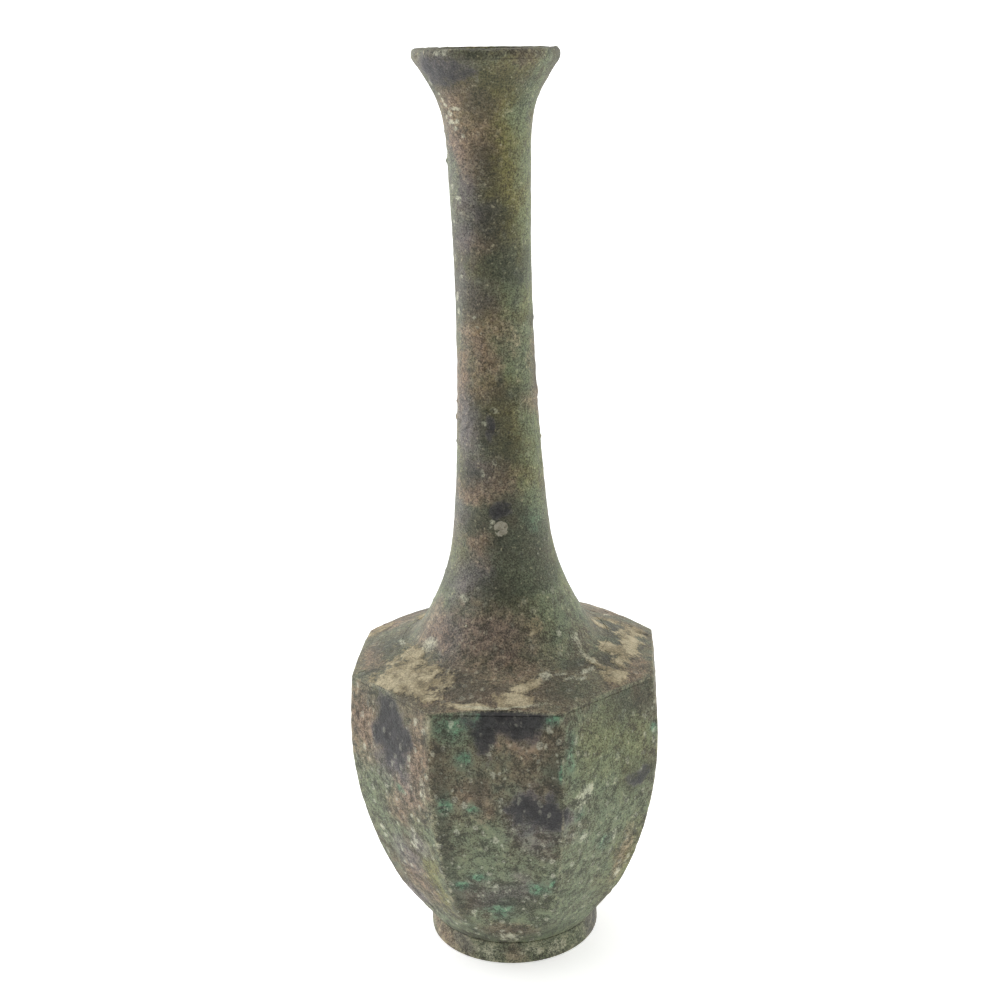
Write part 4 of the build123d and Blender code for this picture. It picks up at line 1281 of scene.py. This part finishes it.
@dataclass
class FacetedBody:
    """Eight-sided belly that draws in to a round floor flange."""

    low: float = 7.0
    toe: float = 25.2
    spread: float = 0.7536
    toe_ease: float = 0.12
    flat: float = 43.05
    seat: float = 39.85
    seat_top: float = 85.5
    seat_low: float = 78.4
    hollow_toe: float = 24.05
    floor: float = 10.0
    floor_hole: float = 21.5
    toe_in: float = 0.1
    mitre_edge: float = 0.1
    floor_edge: float = 0.2
    wall_rows: float = 0.55
    rows: float = 0.4
    hollow_rows: float = 2.6
    hidden_rows: float = 2.4
    chips: Bumps = Bumps(0.35, 3.1)
    chip_reach: float = 1.1
    faceted: tuple[float, float] = (14.0, 30.0)
    rubbed: float = -24.5
    rubbed_width: float = 4.0
    plain: float = 45.0
    plain_width: float = 20.0
    bare_top: tuple[float, float] = (74.0, 90.0)
    outer: tuple[tuple[float, float], ...] = (
        (25.7, 7.0), (32.915, 21.03), (40.907, 44.21), (44.2, 68.0), (43.05, 88.7),
    )
    inner: tuple[tuple[float, float], ...] = (
        (41.4, 68.1), (40.84, 60.25), (39.76, 52.45), (38.15, 44.73), (36.05, 37.14), (33.47, 29.7),
        (30.47, 22.42), (27.06, 15.32), (23.85, 10.0),
    )

    def shell(
        self, knots: tuple[tuple[float, float], ...], toe: float, start: float, step: float, share: Array,
    ) -> Array:
        """Skin of the belly: the flats, cut round near the floor by a cone.

        The radius is the smooth lesser of flat(z) / facets and toe + spread (z - start):
        (a + b)/2 - sqrt((a - b)^2/4 + k^2), where k is the toe's ease.

        Args:
            knots: Points on the curve of the flats.
            toe: Radius of the cone at its start.
            start: Height of the cone's start.
            step: Spacing of the rows.
            share: Radius over flat distance for each column.

        Returns:
            Rows of radius and height, in the order of the knots.
        """
        curve = spline(knots, step)
        flats, height = curve[:, :1] * share[None, :], curve[:, 1:] + 0.0 * share[None, :]
        cone = toe + self.spread * (height - start)
        radius = 0.5 * (flats + cone) - np.sqrt(0.25 * (flats - cone) ** 2 + self.toe_ease**2)
        return np.stack([radius, height], axis=-1)

    def build(self, patina: Patina, finishes: Finishes) -> bpy.types.Object:
        """Lofts the belly's skin, mitre, seat, hollow and floor flange round the octagon.

        Args:
            patina: Stains and relief.
            finishes: Materials.

        Returns:
            The body.
        """
        azimuth = columns(400, CORNERS, width=3.0, crowd=2.5)
        share = 1.0 / facets(azimuth)

        def ring(flat: float, height: float) -> Array:
            """One corner of the section, at a flat's distance and a height."""
            return np.stack([flat * share, height + 0.0 * share], axis=-1)[None]

        wall = self.shell(self.outer, self.toe, self.low, self.wall_rows, share)
        wall[-1, :, 0] = self.flat * share
        toe = Run(turned((self.toe - self.toe_in, self.low)))
        seen = walk([toe, Run(wall[1:])], self.rows, open_end=True)
        hollow = self.shell(self.inner, self.hollow_toe, self.floor, self.hollow_rows, share)
        hidden = walk([
            Run(seen[-1:]), Run(ring(self.seat, self.seat_top), self.mitre_edge),
            Run(ring(self.seat, self.seat_low), self.mitre_edge), Run(hollow),
            Run(turned((self.floor_hole, self.floor)), self.floor_edge),
            Run(turned((self.floor_hole, self.low)), self.floor_edge), Run(seen[:1]),
        ], self.hidden_rows, open_end=True)
        points = spun(np.concatenate([seen, hidden[1:-1]]), azimuth)
        smooth = points[:len(seen)].copy()
        corner = (22.5 - np.abs((azimuth + 22.5) % 45.0 - 22.5))[None, :]
        beside = np.radians(corner) * np.hypot(points[..., 0], points[..., 1])
        faceted = ease(points[..., 2], *self.faceted)
        near = np.exp(-((beside[:len(seen)] / self.chip_reach) ** 2))
        chips = -self.chips.high * ease(lumps(smooth, self.chips.size, seed=83), 0.35, 0.9) * near
        height = patina.relief(smooth) + chips * faceted[:len(seen)]
        points[:len(seen)] += outward(seen, azimuth) * height[..., None]
        grades = patina.stains(points, {Zone.WALL: np.ones(points.shape[:2], bool)})
        rubbed = 1.0 + 1.2 * np.exp(-(((azimuth - self.rubbed) / self.rubbed_width) ** 2))[None, :]
        grades[Stain.WEAR_AND_HIGHLIGHT] = np.maximum(-1.0, 0.5 - beside / rubbed - 2.0 * (1.0 - faceted))
        grades[Stain.GRIME_AND_SHADE][len(seen):] = HIDDEN_GRIME
        plain = np.exp(-(((azimuth - self.plain) / self.plain_width) ** 4))[None, :]
        grades[Stain.SPECK] = 1.0 - 0.9 * plain - 0.5 * ease(points[..., 2], *self.bare_top)
        return settle(Skin(points, grades).mesh("faceted_body"), finishes.bronze, "body")


@dataclass
class FootBand:
    """Short round foot with a tenon up into the body's floor."""

    floor_radius: float = 25.5
    top_radius: float = 25.3
    high: float = 7.0
    recess: float = 22.2
    bore: float = 19.2
    bore_low: float = 4.2
    ledge: float = 8.8
    ledge_in: float = 17.6
    tenon: float = 21.4
    tenon_end: float = 12.5
    stand: float = 1.0
    joint_in: float = 2.0
    floor_edge: float = 0.6
    top_edge: float = 0.4
    joint_edge: float = 0.1
    tenon_edge: float = 0.2
    ledge_edge: float = 0.1
    step_edge: float = 0.05
    bore_edge: float = 0.3
    recess_edge: float = 0.4
    rows: float = 0.32
    hidden_rows: float = 0.8
    fade_low: float = 0.8
    fade_high: float = 0.3
    wear_and_highlight_drop: float = 0.5
    worn_reach: float = 0.8
    bottom_dark_reach: float = 0.8
    dark_above: float = 6.0

    def build(self, patina: Patina, finishes: Finishes) -> bpy.types.Object:
        """Spins the outer face, the tenon, the ledge and the recess under the foot.

        Args:
            patina: Stains and relief.
            finishes: Materials.

        Returns:
            The foot.
        """
        azimuth = columns(360, (0.0,), width=60.0, crowd=0.6)
        seen = walk([
            Run(turned((self.recess + self.stand, 0.0))),
            Run(turned((self.floor_radius, 0.0)), self.floor_edge),
            Run(turned((self.top_radius, self.high)), self.top_edge),
            Run(turned((self.top_radius - self.joint_in, self.high))),
        ], self.rows, open_end=True)
        hidden = walk([
            Run(seen[-1:]), Run(turned((self.tenon, self.high)), self.joint_edge),
            Run(turned((self.tenon, self.tenon_end)), self.tenon_edge),
            Run(turned((self.ledge_in, self.tenon_end)), self.tenon_edge),
            Run(turned((self.ledge_in, self.ledge)), self.ledge_edge),
            Run(turned((self.bore, self.ledge)), self.step_edge),
            Run(turned((self.bore, self.bore_low)), self.bore_edge),
            Run(turned((self.recess, 0.0)), self.recess_edge), Run(seen[:1]),
        ], self.hidden_rows, open_end=True)
        points = spun(np.concatenate([seen, hidden[1:-1]]), azimuth)
        level = seen[..., 1]
        standing = ease(level, 0.0, self.fade_low) * ease(level, self.high, self.high - self.fade_high)
        height = patina.relief(points[:len(seen)]) * standing
        points[:len(seen)] += outward(seen, azimuth) * height[..., None]
        grades = patina.stains(points, {Zone.WALL: np.ones(points.shape[:2], bool)})
        rise, radius = points[..., 2], np.hypot(points[..., 0], points[..., 1])
        # Pale band on the foot's top edge: partly wear, partly a painted highlight where the small ledge
        # catches light from above. A little of the pale colour lies over the whole foot.
        arris = np.hypot(rise - self.high + self.wear_and_highlight_drop, radius - self.top_radius)
        grades[Stain.WEAR_AND_HIGHLIGHT] = np.maximum(0.45, 0.7 - arris / self.worn_reach)
        # Darker towards the bottom edge of the foot.
        grades[Stain.GRIME_AND_SHADE] = np.maximum(-1.0, 0.2 - rise / self.bottom_dark_reach)
        grades[Stain.GRIME_AND_SHADE][len(seen):] = np.where(rise[len(seen):] > self.dark_above, 0.8, 0.1)
        grades[Stain.SPECK][:] = 0.0
        piece = Skin(points, grades).mesh("foot_band")
        return settle(piece, finishes.bronze, "foot_ring")


@dataclass
class BaseDisc:
    """Disc set up inside the foot that closes the vase."""

    radius: float = 19.1
    low: float = 6.4
    high: float = 8.8
    pole: float = 0.8
    edge: float = 0.3
    rows: float = 0.55
    fade: float = 2.5
    dark_above: float = 1.0

    def build(self, patina: Patina, finishes: Finishes) -> bpy.types.Object:
        """Spins the underside, the edge and the top, with a pole in the middle of each face.

        Args:
            patina: Stains and relief.
            finishes: Materials.

        Returns:
            The disc.
        """
        azimuth = columns(180, (0.0,), width=60.0, crowd=0.0)
        section = walk([
            Run(turned((self.pole, self.low))), Run(turned((self.radius, self.low)), self.edge),
            Run(turned((self.radius, self.high)), self.edge), Run(turned((self.pole, self.high))),
        ], self.rows, open_end=True)
        points = spun(section, azimuth)
        inside = ease(section[..., 0], self.radius - self.edge, self.radius - self.fade)
        dip = np.minimum(patina.relief(points), 0.0) * inside
        points += outward(section, azimuth) * dip[..., None]
        grades = patina.stains(points, {Zone.WALL: np.ones(points.shape[:2], bool)})
        grades[Stain.GRIME_AND_SHADE] = np.where(points[..., 2] > self.low + self.dark_above, HIDDEN_GRIME, 0.0)
        grades[Stain.SPECK][:] = -0.2
        piece = Skin(points, grades, True).mesh("base_disc")
        return settle(piece, finishes.bronze, "base_plate")


@dataclass(frozen=True)
class SolderJoints:
    """The solder that holds the pieces together, kept as it is in the frame and given its finish."""

    nodes: tuple[str, ...] = ("rim_solder", "neck_solder", "shoulder_solder", "foot_solder", "base_solder")

    def dress(self, finishes: Finishes) -> list[bpy.types.Object]:
        """Puts the solder finish on each joint.

        Args:
            finishes: Materials.

        Returns:
            The joints.
        """
        joints = [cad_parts[node] for node in self.nodes]
        for joint in joints:
            joint.data.materials.clear()
            joint.data.materials.append(finishes.solder)
        return joints


@dataclass(frozen=True)
class SoftBox:
    """Large soft lamp aimed at the vase.

    Attributes:
        name: Name of the lamp.
        place: Where it stands, in metres.
        wide: Width in metres.
        tall: Height in metres.
        power: Power in watts.
        warm: Colour.
    """

    name: str
    place: tuple[float, float, float]
    wide: float
    tall: float
    power: float
    warm: tuple[float, float, float] = (1.0, 1.0, 1.0)

    def light(self, aim: tuple[float, float, float]) -> bpy.types.Object:
        """Hangs the lamp so that it faces a point.

        Args:
            aim: Point to face, in metres.

        Returns:
            The lamp.
        """
        lamp = bpy.data.lights.new(self.name, "AREA")
        lamp.shape, lamp.size, lamp.size_y = "RECTANGLE", self.wide, self.tall
        lamp.energy, lamp.color = self.power, self.warm
        box = bpy.data.objects.new(self.name, lamp)
        back = np.array(self.place) - np.array(aim)
        back /= np.linalg.norm(back)
        hint = np.array([0.0, 1.0, 0.0]) if abs(back[2]) > 0.99 else np.array([0.0, 0.0, 1.0])
        side = np.cross(hint, back)
        side /= np.linalg.norm(side)
        turn = np.eye(4)
        turn[:3, 0], turn[:3, 1], turn[:3, 2], turn[:3, 3] = side, np.cross(back, side), back, self.place
        box.matrix_world = Matrix(turn.tolist())
        box.visible_camera = False
        bpy.context.scene.collection.objects.link(box)
        return box


@dataclass(frozen=True)
class Studio:
    """White sweep, soft boxes and the camera."""

    sweep_white: Colour = (0.9, 0.905, 0.9, 1.0)
    sweep_front: float = -3.0
    sweep_back: float = 1.0
    sweep_bend: float = 0.6
    sweep_steps: int = 24
    sweep_top: float = 3.0
    sweep_side: float = 4.0
    sweep_glow: float = 0.39
    far_glow: float = 0.9
    far_floor: tuple[float, float] = (0.7, 1.3)
    far_rise: tuple[float, float] = (0.3, 0.6)
    far_side: tuple[float, float] = (0.9, 1.4)
    near_glow: float = 0.17
    near_floor: tuple[float, float] = (0.08, 0.3)
    air: float = 0.1
    haze: float = 1.0
    azimuth: float = 4.9705
    distance: float = 419.38
    height: float = 265.315
    pitch: float = 17.153
    roll: float = -1.945
    lens: float = 55.286
    shift: float = -0.0008
    sensor: float = 36.0
    nearest: float = 0.01
    aim: tuple[float, float, float] = (0.0, 0.0, 0.12)
    boxes: tuple[SoftBox, ...] = (
        SoftBox("left box", (-0.9, 0.2, 0.4), 1.2, 1.2, 11.7),
        SoftBox("right box", (0.9, 0.2, 0.4), 1.2, 1.2, 5.7, (1.0, 1.0, 0.95)),
        SoftBox("top box", (0.0, 0.15, 1.2), 1.2, 1.2, 6.5),
    )

    def sweep(self) -> bpy.types.Object:
        """Floor that curves up into a backdrop: flat, then a quarter of a circle, then upright.

        The paper glows. Far off it glows more, so that no side shows a dark floor, and round the foot a
        little more, so that the vase's shade stays faint.

        Returns:
            The sweep.
        """
        back, bend, turn = self.sweep_back, self.sweep_bend, np.linspace(0.0, 0.5 * np.pi, self.sweep_steps)
        along = np.concatenate([[self.sweep_front], back + bend * np.sin(turn), [back + bend]])
        rise = np.concatenate([[0.0], bend * (1.0 - np.cos(turn)), [self.sweep_top]])
        side = np.array([-self.sweep_side, self.sweep_side])
        points = np.stack([
            np.repeat(side[None, :], len(along), 0), np.repeat(along[:, None], 2, 1),
            np.repeat(rise[:, None], 2, 1),
        ], axis=-1).reshape(-1, 3)
        first = 2 * np.arange(len(along) - 1)
        quads = np.stack([first, first + 1, first + 3, first + 2], axis=-1)
        mesh = bpy.data.meshes.new("white_sweep")
        mesh.from_pydata(points.tolist(), [], quads.tolist())
        mesh.polygons.foreach_set("use_smooth", np.ones(len(quads), bool))
        paper = Shades("white paper")
        spot = paper.add("ShaderNodeSeparateXYZ", {0: paper.place}).outputs
        away = paper.add("ShaderNodeVectorMath", {0: paper.place}, operation="LENGTH").outputs["Value"]
        aside = paper.add("ShaderNodeMath", {0: spot[0]}, operation="ABSOLUTE").outputs[0]
        far = paper.times(paper.step(away, *self.far_floor), paper.step(spot[2], *self.far_rise, 1.0, 0.0))
        inputs = {0: far, 1: paper.step(aside, *self.far_side)}
        far = paper.add("ShaderNodeMath", inputs, operation="MAXIMUM").outputs[0]
        glow = paper.step(far, 0.0, 1.0, self.sweep_glow, self.far_glow)
        glow = paper.sum(glow, paper.step(away, *self.near_floor, 1.0, 0.0), self.near_glow)
        inputs = {"Base Color": self.sweep_white, "Roughness": 0.9, "Specular IOR Level": 0.1,
                  "Emission Color": (1.0, 1.0, 1.0, 1.0), "Emission Strength": glow}
        surface = paper.add("ShaderNodeBsdfPrincipled", inputs)
        paper.add("ShaderNodeOutputMaterial", {"Surface": surface.outputs["BSDF"]})
        mesh.materials.append(paper.material)
        floor = bpy.data.objects.new("white_sweep", mesh)
        bpy.context.scene.collection.objects.link(floor)
        return floor

    def camera(self) -> bpy.types.Object:
        """Stands the camera: it looks down by the pitch, leans by the roll, and is turned round the axis.

        Returns:
            The camera.
        """
        pitch, roll, turn = np.radians([self.pitch, self.roll, self.azimuth])
        ahead, right = np.array([0.0, np.cos(pitch), -np.sin(pitch)]), np.array([1.0, 0.0, 0.0])
        head = np.cross(right, ahead)
        side, top = right * np.cos(roll) + head * np.sin(roll), -right * np.sin(roll) + head * np.cos(roll)
        cos, sin = np.cos(turn), np.sin(turn)
        spin = np.array([[cos, -sin, 0.0], [sin, cos, 0.0], [0.0, 0.0, 1.0]])
        pose = np.eye(4)
        pose[:3, :3] = spin @ np.stack([side, top, -ahead], axis=1)
        pose[:3, 3] = spin @ np.array([0.0, -self.distance, self.height]) * METRE
        lens = bpy.data.cameras.new("camera")
        lens.lens, lens.shift_x = self.lens, self.shift
        lens.sensor_width, lens.clip_start = self.sensor, self.nearest
        camera = bpy.data.objects.new("camera", lens)
        camera.matrix_world = Matrix(pose.tolist())
        bpy.context.scene.collection.objects.link(camera)
        bpy.context.scene.camera = camera
        return camera

    def build(self) -> None:
        """Sets up the sweep, the air's light, the lamps, the camera and the picture's plain tone curve."""
        self.sweep()
        world = bpy.data.worlds.new("air")
        world.use_nodes = True
        tree = world.node_tree
        back, seen = tree.nodes["Background"], tree.nodes.new("ShaderNodeBackground")
        for light, strength in ((back, self.air), (seen, self.haze)):
            light.inputs["Color"].default_value = (1.0, 1.0, 1.0, 1.0)
            light.inputs["Strength"].default_value = strength
        path, both = tree.nodes.new("ShaderNodeLightPath"), tree.nodes.new("ShaderNodeMixShader")
        tree.links.new(path.outputs["Is Camera Ray"], both.inputs[0])
        tree.links.new(back.outputs[0], both.inputs[1])
        tree.links.new(seen.outputs[0], both.inputs[2])
        tree.links.new(both.outputs[0], tree.nodes["World Output"].inputs["Surface"])
        bpy.context.scene.world = world
        for box in self.boxes:
            box.light(self.aim)
        self.camera()
        bpy.context.scene.view_settings.view_transform = "Standard"


def main() -> None:
    """Builds the pieces from the lip down, dresses the solder, sets the studio and notes the sizes."""
    logging.basicConfig(level=logging.INFO, format="%(message)s")
    patina = Patina()
    finishes = Finishes(StainedBronze().material(), PlugMetal().material(), DullSolder().material())
    place = PlugPlace()
    neck = NeckTube(place)
    parts = (
        LipBand(), neck, WallPlug(place, neck), ShoulderPlate(), FacetedBody(), FootBand(), BaseDisc(),
    )
    for part in parts:
        piece = part.build(patina, finishes)
        log.info("%s: %d faces", piece.name, len(piece.data.polygons))
    for joint in SolderJoints().dress(finishes):
        log.info("%s: dressed", joint.name)
    Studio().build()


if __name__ == "__main__":
    main()
